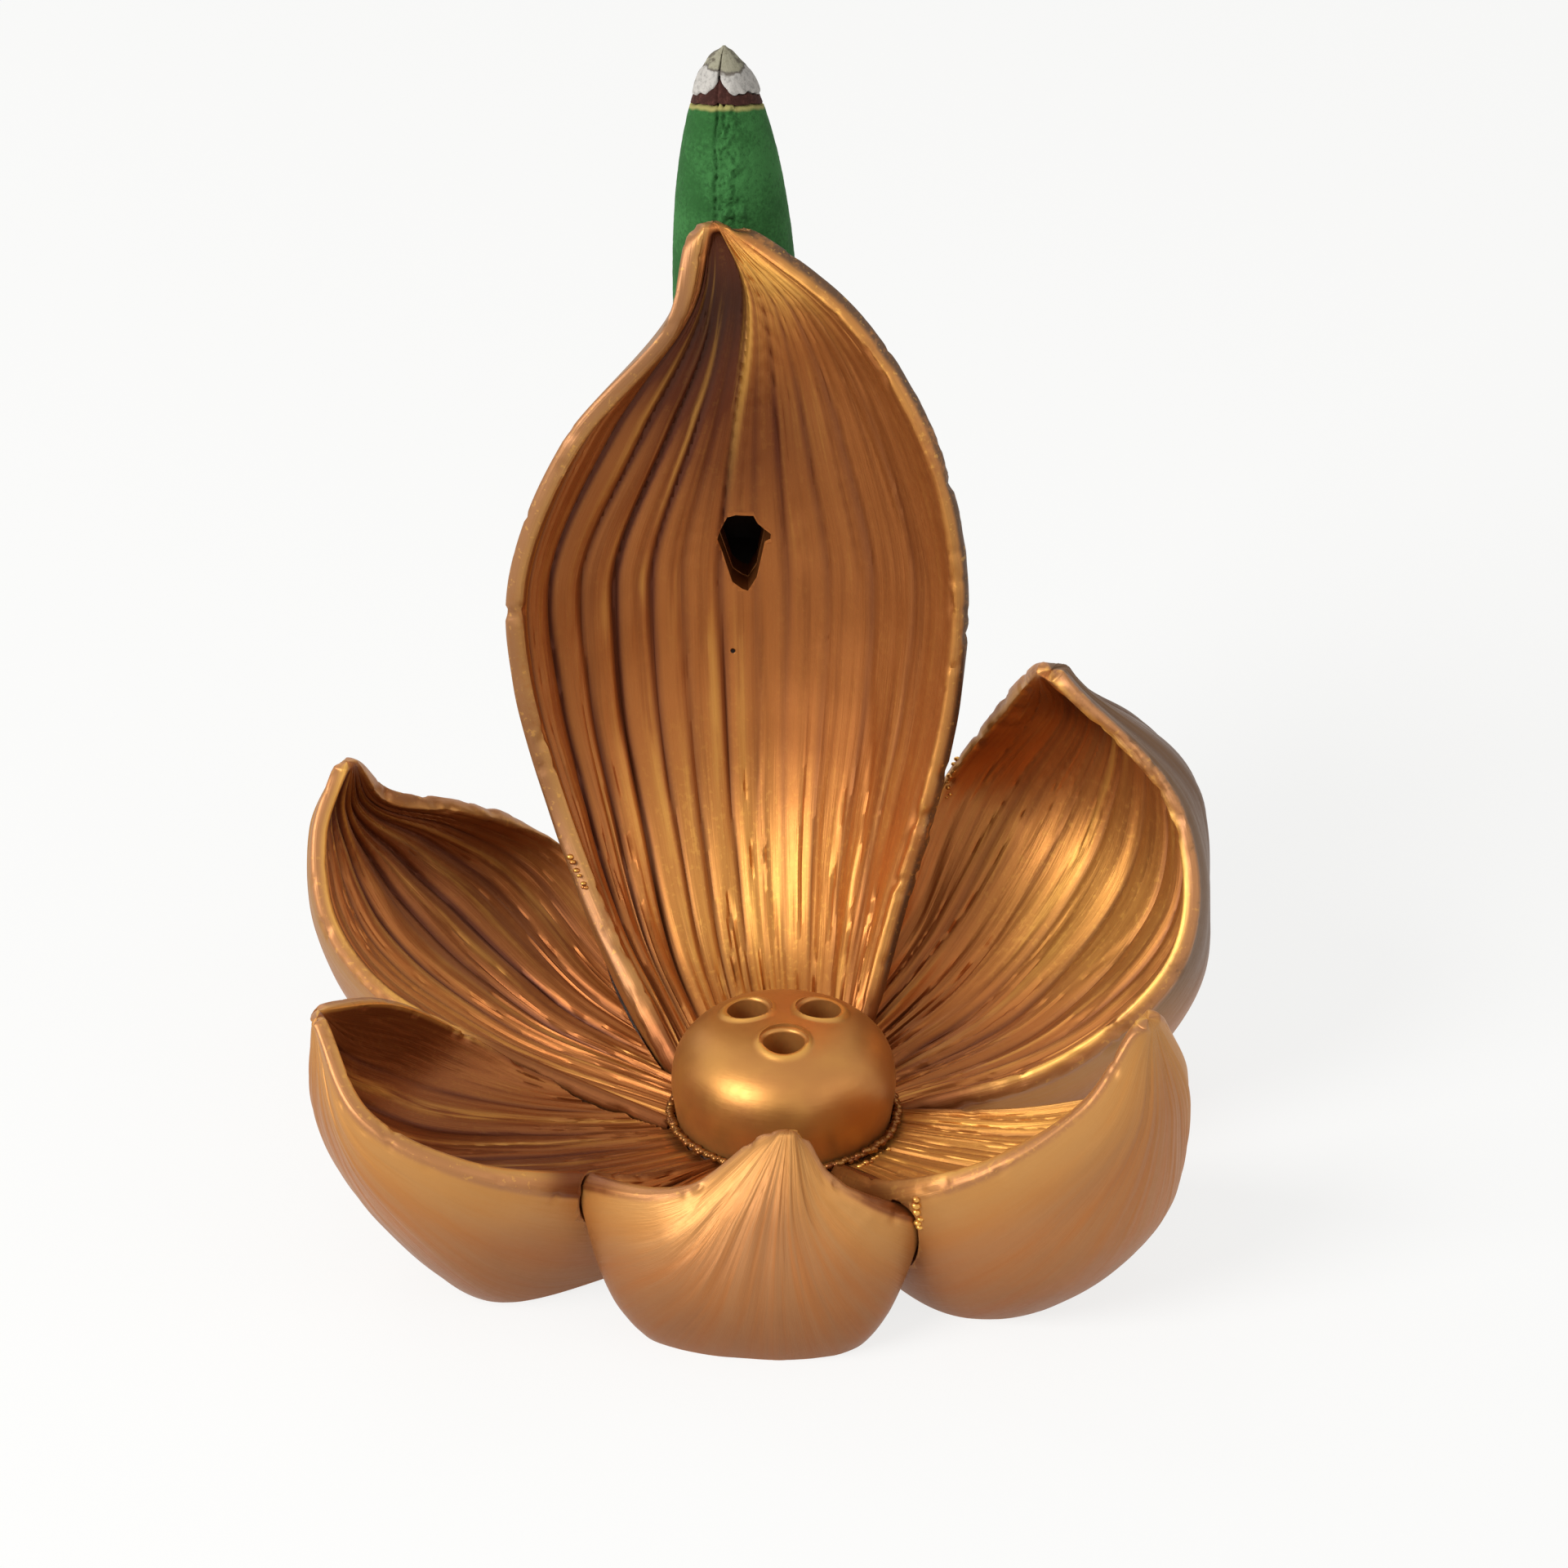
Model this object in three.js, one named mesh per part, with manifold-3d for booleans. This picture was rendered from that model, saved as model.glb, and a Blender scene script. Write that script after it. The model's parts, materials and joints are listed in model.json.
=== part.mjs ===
// Backflow incense burner in the form of an open lotus: six cast resin petals set round a
// receptacle, a seed pod on top of it, and a small stand behind the tall petal that carries
// the incense cone. Smoke sinks through the cone, the seat disc and the stand, and comes
// out of the tall petal's throat.
//
// Sizes are in millimetres and angles in degrees. Z is up, the flat underside lies at zero
// and the Z axis runs through the pod. X is to the right seen from the front, Y to the back.

import * as THREE from 'three';
import { mergeVertices } from 'three/addons/utils/BufferGeometryUtils.js';
import Module from 'manifold-3d';

const wasm = await Module();
wasm.setup();

// Fits: the gap between touching pieces, how much further a cutter's corners are pushed out
// so that its faces keep that gap, and how far a cutter runs past the face it starts from
const clearance = 0.3;
const cornerPush = 1.4;
const cutterOverrun = 1;

// Receptacle, the disc that holds the petals together
const hubRadius = 12;
const hubHeight = 8.5;
const hubChamfer = 0.8;

// Seed pod: a squat dome as wide as the receptacle at its foot, which swells a little above it
const podSwell = 0.6;
const podHeight = 13;
const podWidestHeight = 4.5;
const podSquareness = 2.6;

// Three blind holes in the pod for incense sticks
const stickHoleCount = 3;
const stickHoleRadius = 2.3;
const stickHoleDepth = 5;
const stickHoleCircle = 4.7;
const stickHoleTurn = -90;

// Petals
const rootWidth = 14;
const tallRootWidth = 19;
const rootTuck = 1.5;
const rootLift = 1;
const rootDepth = 4;
const tipWidth = 2.4;

// Petal walls: least thickness behind the middle and at the rims, from which share of the
// length the middle thins out to the rim's, and how softly the back gives way to them
const middleWall = 2.2;
const rimWall = 1.2;
const wallThinsFrom = 0.75;
const wallEase = 0.8;

// Folds pressed into the petals' inner faces: depth of the deepest, its limit as a share of
// the wall, where a crest stands between two grooves of the left half, and the widest space
// between two columns of a petal's faces
const foldDepth = 1.3;
const foldLimit = 0.42;
const foldCrest = 0.32;
const columnSpacing = 0.2;

// Over which shares of a petal's length the folds rise from the root, swing and gather
// towards the tip, and fade out in it
const foldRise = 0.12;
const gatherFrom = 0.55;
const gatherTo = 0.97;
const gatherPower = 1.5;
const foldFadeFrom = 0.93;

// Smoke outlet in the tall petal's throat, a shield with its point down
const outletWidth = 6.3;
const outletHeight = 9.6;
const outletCentreZ = 58.2;
const outletOffset = 0.4;

// Incense cone, partly burnt, standing close behind the tall petal
const coneX = -5.3;
const coneGap = 0.2;
const coneRadius = 7.2;
const coneHeight = 36.8;
const coneLean = -1.2;
const coneBluntness = 2.4;
const coneShoulder = 0.6;
const coneBaseChamfer = 0.4;
const charHeight = 1.2;
const ashHeight = 5.7;
const ashCrownRadius = 0.5;
const coneBoreRadius = 1.6;
const coneBoreDepth = 24;

// Seat disc of pressed metal under the cone
const discThickness = 0.6;
const discHoleRadius = 3;

// Cone stand, a bud-shaped corbel behind the tall petal
const seatHeight = 78;
const seatWall = 1;
const seatLip = 0.6;
const seatRound = 0.8;
const smokeBoreRadius = 3.7;
const standWall = 3.6;
const standWaist = 0.5;
const standReach = 1.4;
const standFootHeight = 36;
const standFootRadius = 2;
const standFootY = 45.5;
const standFlutes = 8;
const standFluteDepth = 0.5;

// The petals, each with its bearing round the pod and the lines that its shape runs along,
// from root to tip: the middle of its inner face and its back as [out, up], and its left and
// right rims as [out, left, up]. Curl is how far each half of its section closes, belly how
// squarely its back meets the rims, and rim the thickness of the edge. Folds are grooves as
// [line, depth share]: lines are numbered from -1 at the right rim to 1 at the left, and
// towards the tip they swing to the left and gather.
const petals = {
  tall_rear_petal: {
    bearing: 99, width: tallRootWidth, curl: [84, 52], belly: 2.6, rim: 2, steps: 30,
    middle: [[28, 15], [37.5, 27], [42, 41], [43.6, 57], [43.8, 76], [42.6, 90]],
    left: [[26, 16.5, 23], [33, 20.3, 34], [36, 23.6, 48], [36.5, 23.8, 60], [36.8, 17.4, 75.5],
      [40.6, 5.2, 88]],
    right: [[18, -15, 23.5], [21, -19, 34], [24, -22.8, 48], [26, -23.8, 62], [28.5, -20.5, 77],
      [34, -13, 89.5]],
    back: [[30, 1.5], [40, 13.5], [45.5, 30], [47, 52], [47, 74], [45.5, 89]],
    tip: [43.5, 0.8, 98.5], tipBack: [45, 98.5],
    folds: [[0.86, 0.5], [0.67, 1], [0.52, 0.8], [0.385, 1], [0.24, 0.55], [0.13, 0.4], [0, 0.4]],
    swing: 0.16, gather: 0.9,
  },
  rear_left_petal: {
    bearing: 152, width: rootWidth, curl: [76, 62], belly: 2.7, rim: 1.4, steps: 20,
    middle: [[33.5, 11.5], [48, 19], [53.5, 27], [55, 35]],
    left: [[29, 11, 15.5], [42.5, 14, 21], [50, 13, 27.5], [53.5, 9, 35.5]],
    right: [[27, -17, 14.5], [41, -24, 20.8], [48, -14, 28.8], [53, -3.5, 33.8]],
    back: [[42, 1], [54.2, 14], [57.3, 24.5], [56.5, 34.5]],
    tip: [53.5, 3.2, 41.5], tipBack: [54.5, 41.5],
    folds: [[0.84, 0.6], [0.66, 0.9], [0.47, 1], [0.27, 0.8], [0.08, 0.75], [-0.12, 0.8],
      [-0.3, 0.5], [-0.52, 0.25]],
    swing: 0.15, gather: 0.6,
  },
  rear_right_petal: {
    bearing: 40, width: rootWidth, curl: [66, 76], belly: 2.9, rim: 1.5, steps: 20,
    middle: [[32, 12.5], [47.5, 25], [49.8, 39.7]],
    left: [[28, 14.5, 19], [39, 18.5, 29.5], [41.5, 11.3, 41]],
    right: [[26, -18.5, 16], [37.5, -22.8, 27], [43, -15.5, 39.5]],
    back: [[36, -2.5], [53.2, 13.5], [52.8, 32]],
    tip: [38, -0.2, 51.7], tipBack: [41.5, 52],
    folds: [[0.06, 0.25], [-0.16, 0.3], [-0.36, 0.45], [-0.54, 0.7], [-0.7, 0.95], [-0.84, 0.8]],
    swing: -0.1, gather: 0.6,
  },
  front_petal: {
    bearing: -94, width: rootWidth, curl: [66, 84], belly: 4, rim: 1.5, steps: 20,
    middle: [[22, 8.5], [29, 9.5], [32.5, 13], [32, 18.5]],
    left: [[19.5, 13.5, 12.5], [26, 16, 14.5], [29.5, 11, 17.5], [30, 6, 20.7]],
    right: [[19.5, -14.5, 12.8], [24.5, -19, 16], [30.5, -11.5, 18.1], [30.5, -5.5, 19]],
    back: [[26.5, -5.5], [34.7, -1.5], [38, 7], [36.2, 17]],
    tip: [29, 2.5, 24.5], tipBack: [32, 26],
    folds: [[0.7, 0.4], [0.42, 0.5], [0.12, 0.4], [-0.2, 0.5], [-0.5, 0.5], [-0.75, 0.4]],
    swing: 0, gather: 0.2,
  },
  front_left_petal: {
    bearing: 203, width: rootWidth, curl: [86, 66], belly: 7, rim: 1.3, steps: 20,
    middle: [[29.5, 10.5], [44.5, 15], [51.8, 23]],
    left: [[28, 13.5, 16.3], [42.5, 14.5, 21.7], [51.5, 8.5, 26.5]],
    right: [[23.5, -11.5, 13.3], [32, -13, 20], [42, -9, 28.3]],
    back: [[37.5, -3], [49.6, 9], [54.5, 21]],
    tip: [53.2, -1.1, 33.5], tipBack: [53.8, 32.5],
    folds: [[0.8, 0.35], [0.62, 0.5], [0.42, 0.5], [0.2, 0.45], [-0.04, 0.4], [-0.32, 0.3]],
    swing: 0.1, gather: 0.5,
  },
  front_right_petal: {
    bearing: -30, width: rootWidth, curl: [66, 84], belly: 6, rim: 1.4, steps: 20,
    middle: [[31, 11.5], [42, 17.5], [45.6, 26.5]],
    left: [[25, 9, 13], [35.5, 10, 17.5], [43.5, 7, 24]],
    right: [[24, -18, 18], [34.5, -16.5, 23], [42, -9, 28.5]],
    back: [[34.5, -3], [46.8, 9], [48.9, 22.5]],
    tip: [45, -2, 36], tipBack: [46.5, 35],
    folds: [[0.6, 0.25], [0.3, 0.4], [0, 0.45], [-0.3, 0.4], [-0.6, 0.35]],
    swing: 0, gather: 0.4,
  },
};

// Steps round a turned piece and round a small hole
const turnSteps = 32;
const holeSteps = 20;

const radians = THREE.MathUtils.degToRad;

// Solids

// A geometry with its shared vertices merged and the flat triangles at its poles left out.
function welded(geometry) {
  const bare = geometry.clone();
  bare.deleteAttribute('normal');
  bare.deleteAttribute('uv');
  const merged = mergeVertices(bare, 1e-4);
  const old = merged.index.array;
  const kept = [];
  for (let i = 0; i < old.length; i += 3) {
    const [a, b, c] = [old[i], old[i + 1], old[i + 2]];
    if (a !== b && b !== c && c !== a) {
      kept.push(a, b, c);
    }
  }
  merged.setIndex(kept);
  return merged;
}

function solidOf(geometry) {
  const { attributes, index } = welded(geometry);
  return new wasm.Manifold(new wasm.Mesh({
    numProp: 3,
    vertProperties: new Float32Array(attributes.position.array),
    triVerts: new Uint32Array(index.array),
  }));
}

function geometryOf(solid) {
  const mesh = solid.getMesh();
  const geometry = new THREE.BufferGeometry();
  geometry.setAttribute('position', new THREE.BufferAttribute(mesh.vertProperties, 3));
  geometry.setIndex(new THREE.BufferAttribute(mesh.triVerts, 1));
  geometry.computeVertexNormals();
  return geometry;
}

// The largest body of a solid, without the offcuts that a cut may leave.
function mainBody(solid) {
  const bodies = solid.decompose();
  bodies.sort((a, b) => b.volume() - a.volume());
  return bodies[0];
}

// A solid of revolution about the Z axis through x, y, from [radius, height] points.
function turned(profile, x = 0, y = 0, steps = turnSteps) {
  const points = profile.map(([radius, height]) => new THREE.Vector2(radius, height));
  const geometry = new THREE.LatheGeometry(points, steps);
  geometry.rotateX(Math.PI / 2);
  geometry.translate(x, y, 0);
  return geometry;
}

function cylinder(radius, bottom, top, x = 0, y = 0, steps = turnSteps) {
  return turned([[0, bottom], [radius, bottom], [radius, top], [0, top]], x, y, steps);
}

// A closed skin over rings of equal point counts. Each end is closed by joining point i of
// its ring to point n - 1 - i, which suits a flat ring as well as a crescent.
function skinned(rings) {
  const count = rings[0].length;
  const positions = rings.flat().flatMap((point) => [point.x, point.y, point.z]);
  const indices = [];
  const quad = (a, b, c, d) => indices.push(a, b, c, a, c, d);
  for (let ring = 0; ring < rings.length - 1; ring += 1) {
    for (let i = 0; i < count; i += 1) {
      const next = (i + 1) % count;
      const low = ring * count;
      quad(low + i, low + next, low + count + next, low + count + i);
    }
  }
  const last = (rings.length - 1) * count;
  for (let i = 0; i < count / 2 - 1; i += 1) {
    const across = count - 1 - i;
    quad(i, across, across - 1, i + 1);
    quad(last + i, last + i + 1, last + across - 1, last + across);
  }
  const geometry = new THREE.BufferGeometry();
  geometry.setAttribute('position', new THREE.Float32BufferAttribute(positions, 3));
  geometry.setIndex(indices);
  return geometry;
}

// A copy of a closed geometry whose faces stand out by a distance.
function grown(geometry, distance) {
  const copy = welded(geometry);
  copy.computeVertexNormals();
  const { position, normal } = copy.attributes;
  const point = new THREE.Vector3();
  const push = new THREE.Vector3();
  for (let i = 0; i < position.count; i += 1) {
    push.fromBufferAttribute(normal, i).multiplyScalar(distance);
    point.fromBufferAttribute(position, i).add(push);
    position.setXYZ(i, point.x, point.y, point.z);
  }
  copy.deleteAttribute('normal');
  return copy;
}

// Petals

// The lines of a petal, as curves in its own frame: x outwards, y to its left and z up.
function petalLines(petal) {
  const [tipOut, tipLeft, tipUp] = petal.tip;
  const rootRadius = hubRadius - rootTuck;
  const rootUp = hubHeight + rootLift;
  const curve = (points) => new THREE.CatmullRomCurve3(
    points.map((point) => new THREE.Vector3(...point)),
  );
  const upright = (points) => curve(points.map(([out, up]) => [out, 0, up]));
  const rim = (points, side) => curve([
    [rootRadius, (side * petal.width) / 2, rootUp],
    ...points,
    [tipOut, tipLeft + (side * tipWidth) / 2, tipUp],
  ]);
  return {
    middle: upright([[rootRadius, hubHeight], ...petal.middle, [tipOut, tipUp]]),
    left: rim(petal.left, 1),
    right: rim(petal.right, -1),
    back: upright([[rootRadius, -rootDepth], ...petal.back, petal.tipBack]),
  };
}

// A point of a petal's inner face: across runs from -1 at the right rim to 1 at the left,
// along from 0 at the root to 1 at the tip. Each half of a section is an elliptic arc.
function innerPoint(petal, lines, across, along) {
  const middle = lines.middle.getPoint(along);
  middle.y = petal.tip[1] * along ** 2;
  const rim = (across > 0 ? lines.left : lines.right).getPoint(along);
  const curl = radians(petal.curl[across > 0 ? 0 : 1]);
  const share = Math.abs(across);
  const sideways = Math.sin(curl * share) / Math.sin(curl);
  const lifted = (1 - Math.cos(curl * share)) / (1 - Math.cos(curl));
  return rim.sub(middle).multiply(new THREE.Vector3(lifted, sideways, lifted)).add(middle);
}

function innerNormal(petal, lines, across, along) {
  const step = 0.004;
  const side = Math.min(Math.max(across, step - 1), 1 - step);
  const reach = Math.min(Math.max(along, step), 1 - step);
  const lengthwise = innerPoint(petal, lines, side, reach + step)
    .sub(innerPoint(petal, lines, side, reach - step));
  const crosswise = innerPoint(petal, lines, side + step, reach)
    .sub(innerPoint(petal, lines, side - step, reach));
  return lengthwise.cross(crosswise).normalize();
}

// A point of a petal's back: under the middle it lies on the back line, and towards the
// rims it closes in to the thickness of the edge. It nowhere comes nearer than the wall.
function backPoint(petal, lines, across, along) {
  const fullness = 1 - Math.abs(across) ** petal.belly;
  const outward = innerNormal(petal, lines, across, along).negate();
  const offset = lines.back.getPoint(along).sub(lines.middle.getPoint(along))
    .multiplyScalar(fullness)
    .addScaledVector(outward, petal.rim * (1 - fullness));
  const thick = fullness * (1 - THREE.MathUtils.smoothstep(along, wallThinsFrom, 1));
  const lack = THREE.MathUtils.lerp(rimWall, middleWall, thick) - offset.dot(outward);
  offset.addScaledVector(outward, (lack + Math.hypot(lack, wallEase)) / 2);
  return offset.add(innerPoint(petal, lines, across, along));
}

// Where a line lies across the petal at a share of its length.
function lineAcross(petal, line, along) {
  const near = THREE.MathUtils.smoothstep(along, gatherFrom, gatherTo);
  const slope = 1 / (1 + petal.gather * near);
  const gathered = line * (slope + (1 - slope) * Math.abs(line) ** gatherPower);
  return gathered + petal.swing * near * (1 - line ** 2);
}

// The columns of a petal's faces from its left rim to its right, as lines and fold depths:
// the grooves, the crests between them, and enough others to keep the section round.
function petalColumns(petal) {
  const grooves = [[1, 0], ...petal.folds, [-1, 0]];
  const shaped = [grooves[0]];
  for (let i = 1; i < grooves.length; i += 1) {
    const [before, after] = [grooves[i - 1][0], grooves[i][0]];
    const crest = after > 0 ? foldCrest : 1 / 2;
    shaped.push([THREE.MathUtils.lerp(after, before, crest), 0], grooves[i]);
  }
  const columns = [shaped[0]];
  for (let i = 1; i < shaped.length; i += 1) {
    const [before, after] = [shaped[i - 1], shaped[i]];
    const parts = Math.ceil((before[0] - after[0]) / columnSpacing);
    for (let part = 1; part < parts; part += 1) {
      const share = part / parts;
      columns.push(before.map((value, k) => THREE.MathUtils.lerp(value, after[k], share)));
    }
    columns.push(after);
  }
  return columns;
}

function petalGeometry(petal) {
  const { smoothstep } = THREE.MathUtils;
  const lines = petalLines(petal);
  const columns = petalColumns(petal);
  const rings = [];
  for (let row = 0; row <= petal.steps; row += 1) {
    const along = row / petal.steps;
    const rise = (1 + smoothstep(along, 0, foldRise)) / 2;
    const depth = foldDepth * rise * (1 - smoothstep(along, foldFadeFrom, 1));
    const front = [];
    const behind = [];
    for (const [line, share] of columns) {
      const across = lineAcross(petal, line, along);
      const inner = innerPoint(petal, lines, across, along);
      const back = backPoint(petal, lines, across, along);
      const fold = Math.min(share * depth, foldLimit * inner.distanceTo(back));
      front.push(inner.addScaledVector(innerNormal(petal, lines, across, along), -fold));
      behind.unshift(back);
    }
    rings.push([...front, ...behind]);
  }
  const geometry = skinned(rings);
  geometry.rotateZ(radians(petal.bearing));
  return geometry;
}

// Seed pod

function podProfile() {
  const foot = hubHeight + clearance;
  const widest = foot + podWidestHeight;
  const widestRadius = hubRadius + podSwell;
  const profile = [[0, foot], [hubRadius, foot]];
  const steps = 10;
  for (let i = 0; i <= steps; i += 1) {
    const angle = (i / steps) * Math.PI / 2;
    const radius = i === steps ? 0 : widestRadius * Math.cos(angle) ** (2 / podSquareness);
    const rise = (podHeight - podWidestHeight) * Math.sin(angle) ** (2 / podSquareness);
    profile.push([radius, widest + rise]);
  }
  return profile;
}

function stickHoles() {
  const top = hubHeight + clearance + podHeight;
  let holes = null;
  for (let i = 0; i < stickHoleCount; i += 1) {
    const turn = radians(stickHoleTurn + (i * 360) / stickHoleCount);
    const x = stickHoleCircle * Math.cos(turn);
    const y = stickHoleCircle * Math.sin(turn);
    const floor = top - stickHoleDepth;
    const hole = solidOf(cylinder(stickHoleRadius, floor, top + cutterOverrun, x, y, holeSteps));
    holes = holes ? holes.add(hole) : hole;
  }
  return holes;
}

// Incense cone

// The cone's axis: behind the fullest point of the tall petal's back above the seat.
function coneAxisY() {
  const petal = petals.tall_rear_petal;
  const lines = petalLines(petal);
  const samples = 100;
  let fullest = 0;
  for (let i = 0; i <= samples; i += 1) {
    const point = backPoint(petal, lines, 0, i / samples);
    if (point.z > seatHeight) {
      fullest = Math.max(fullest, point.x);
    }
  }
  return fullest * Math.sin(radians(petal.bearing)) + coneRadius + coneGap;
}

const coneY = coneAxisY();
const discBottom = seatHeight + clearance;
const coneBase = discBottom + discThickness + clearance;
const ashBottom = coneHeight - ashHeight;
const charBottom = ashBottom - charHeight;

function coneOutline(height) {
  return coneRadius * (1 - (height / coneHeight) ** coneBluntness) ** coneShoulder;
}

function coneSide(from, to, steps) {
  const points = [];
  for (let i = 0; i <= steps; i += 1) {
    const height = from + ((to - from) * i) / steps;
    points.push([Math.max(coneOutline(height), ashCrownRadius), height]);
  }
  return points;
}

// One burning zone of the cone, turned about its axis and set leaning on the seat.
function coneZone(profile) {
  const geometry = turned(profile);
  const { position } = geometry.attributes;
  for (let i = 0; i < position.count; i += 1) {
    const height = position.getZ(i);
    position.setX(i, position.getX(i) + (coneLean * height) / coneHeight);
  }
  geometry.translate(coneX, coneY, coneBase);
  return geometry;
}

// Outlet and stand

// The smoke outlet's shield, drawn facing the front and driven through from back to front.
function outletCutter(from, to) {
  const half = outletWidth / 2;
  const shoulder = outletHeight / 4;
  const shield = new THREE.Shape();
  shield.moveTo(0, -outletHeight / 2);
  shield.quadraticCurveTo(half, -shoulder, half, shoulder);
  shield.quadraticCurveTo(half / 2, outletHeight / 2, 0, outletHeight / 2);
  shield.quadraticCurveTo(-half / 2, outletHeight / 2, -half, shoulder);
  shield.quadraticCurveTo(-half, -shoulder, 0, -outletHeight / 2);
  const options = { depth: to - from, bevelEnabled: false, curveSegments: 5 };
  const geometry = new THREE.ExtrudeGeometry(shield, options);
  geometry.rotateX(Math.PI / 2);
  geometry.translate(coneX + outletOffset, to, outletCentreZ);
  return geometry;
}

// The bud swells from its foot on the petal's back to a belly round the smoke bore, draws
// in to a waist and opens again under the seat. Its shallow flutes fade out at both ends,
// and its front is drawn out to meet the petal.
function standGeometry() {
  const seatRadius = coneRadius + clearance + seatWall;
  const bellyRadius = smokeBoreRadius + standWall;
  const bellyHeight = outletCentreZ - outletHeight / 2;
  const top = coneBase + seatLip;
  const waistHeight = (bellyHeight + top) / 2;
  const outline = new THREE.SplineCurve([
    new THREE.Vector2(standFootRadius, standFootHeight),
    new THREE.Vector2(bellyRadius, bellyHeight),
    new THREE.Vector2(bellyRadius - standWaist, waistHeight),
    new THREE.Vector2(seatRadius, top - seatRound),
  ]);
  const steps = 12;
  const corners = standFlutes * 4;
  const ringAt = (radius, height, fluteDepth) => {
    const rise = (height - standFootHeight) / (bellyHeight - standFootHeight);
    const lean = Math.sin((Math.min(rise, 1) * Math.PI) / 2);
    const y = THREE.MathUtils.lerp(standFootY, coneY, lean);
    return Array.from({ length: corners }, (_, i) => {
      const angle = ((i + 0.5) / corners) * Math.PI * 2;
      const fluted = radius + fluteDepth * Math.cos(angle * standFlutes);
      const reach = angle > Math.PI ? standReach : 1;
      const across = fluted * Math.cos(angle);
      return new THREE.Vector3(coneX + across, y + reach * fluted * Math.sin(angle), height);
    });
  };
  const rings = [];
  for (let i = 0; i <= steps; i += 1) {
    const { x: radius, y: height } = outline.getPoint(i / steps);
    rings.push(ringAt(radius, height, standFluteDepth * Math.sin((i / steps) * Math.PI)));
  }
  rings.push(ringAt(seatRadius - seatRound / 2, top, 0));
  return skinned(rings);
}

// Pieces

const tallPetal = petalGeometry(petals.tall_rear_petal);
const roof = coneBase + coneHeight;
const aboveTable = solidOf(cylinder(roof, 0, roof));
const hubProfile = [
  [0, 0],
  [hubRadius - hubChamfer, 0],
  [hubRadius, hubChamfer],
  [hubRadius, hubHeight],
  [0, hubHeight],
];
const core = solidOf(cylinder(hubRadius + clearance, -cutterOverrun, hubHeight + clearance))
  .add(solidOf(grown(turned(podProfile()), clearance)));
const outlet = solidOf(outletCutter(0, coneY));

// Each petal gives way to the ones set before it, by the glue gap between them.
function petalSolids() {
  const order = [
    'tall_rear_petal', 'rear_left_petal', 'rear_right_petal',
    'front_petal', 'front_left_petal', 'front_right_petal',
  ];
  const solids = {};
  let placed = null;
  for (const name of order) {
    const geometry = petalGeometry(petals[name]);
    let solid = solidOf(geometry).intersect(aboveTable).subtract(core);
    if (placed) {
      solid = solid.subtract(placed);
    }
    solids[name] = mainBody(solid);
    const room = solidOf(grown(geometry, clearance * cornerPush));
    placed = placed ? placed.add(room) : room;
  }
  solids.tall_rear_petal = mainBody(solids.tall_rear_petal.subtract(outlet));
  return solids;
}

function standSolid() {
  const recess = cylinder(coneRadius + clearance, seatHeight, roof, coneX, coneY);
  const boreFloor = outletCentreZ - outletHeight / 2;
  const smokeBore = cylinder(smokeBoreRadius, boreFloor, roof, coneX, coneY, holeSteps);
  const stand = solidOf(standGeometry())
    .subtract(solidOf(grown(tallPetal, clearance * cornerPush)))
    .subtract(solidOf(recess))
    .subtract(solidOf(smokeBore))
    .subtract(outlet);
  return mainBody(stand);
}

function discGeometry() {
  const rim = coneRadius;
  const top = discBottom + discThickness;
  return turned([
    [discHoleRadius, discBottom], [rim, discBottom], [rim, top],
    [discHoleRadius, top], [discHoleRadius, discBottom],
  ], coneX, coneY);
}

function unburntGeometry() {
  const top = charBottom - clearance / 2;
  return coneZone([
    [0, coneBoreDepth], [coneBoreRadius, coneBoreDepth], [coneBoreRadius, 0],
    [coneRadius - coneBaseChamfer, 0],
    ...coneSide(coneBaseChamfer, top, 9),
    [0, top],
  ]);
}

function charGeometry() {
  const bottom = charBottom + clearance / 2;
  const top = ashBottom - clearance / 2;
  return coneZone([[0, bottom], ...coneSide(bottom, top, 1), [0, top]]);
}

function ashGeometry() {
  const bottom = ashBottom + clearance / 2;
  return coneZone([[0, bottom], ...coneSide(bottom, coneHeight, 5), [0, coneHeight]]);
}

const finishes = {
  petal: { color: 0xb9783a, roughness: 0.42, metalness: 0.75 },
  pod: { color: 0xb57a34, roughness: 0.32, metalness: 0.8 },
  resin: { color: 0x7d5130, roughness: 0.7, metalness: 0.2 },
  metal: { color: 0xa8a49c, roughness: 0.35, metalness: 1 },
  incense: { color: 0x2c7a3c, roughness: 0.95, metalness: 0 },
  char: { color: 0x2b1a14, roughness: 1, metalness: 0 },
  ash: { color: 0xb8b4ad, roughness: 1, metalness: 0 },
};

const burner = new THREE.Group();

function addPiece(name, geometry, finish) {
  const mesh = new THREE.Mesh(geometry, new THREE.MeshStandardMaterial(finishes[finish]));
  mesh.name = name;
  burner.add(mesh);
}

addPiece('receptacle_hub', turned(hubProfile), 'resin');
addPiece('seed_pod', geometryOf(solidOf(turned(podProfile())).subtract(stickHoles())), 'pod');
for (const [name, solid] of Object.entries(petalSolids())) {
  addPiece(name, geometryOf(solid), 'petal');
}
addPiece('cone_stand', geometryOf(standSolid()), 'petal');
addPiece('seat_disc', discGeometry(), 'metal');
addPiece('incense_cone', unburntGeometry(), 'incense');
addPiece('cone_char_band', charGeometry(), 'char');
addPiece('cone_ash_tip', ashGeometry(), 'ash');

export default burner;
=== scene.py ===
"""Looks of a backflow incense burner shaped as an open lotus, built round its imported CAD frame.

Six petals of gilded cast resin stand round a seed pod with three stick holes. A small stand
behind the tall petal carries a partly burnt incense cone. Z is up, and the Y axis points away
from the camera of the photograph. Lengths are in metres, except where a comment says
millimetres.
"""

import json
import math

import bmesh
import bpy
import numpy as np
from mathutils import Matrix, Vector
from mathutils.bvhtree import BVHTree


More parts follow.
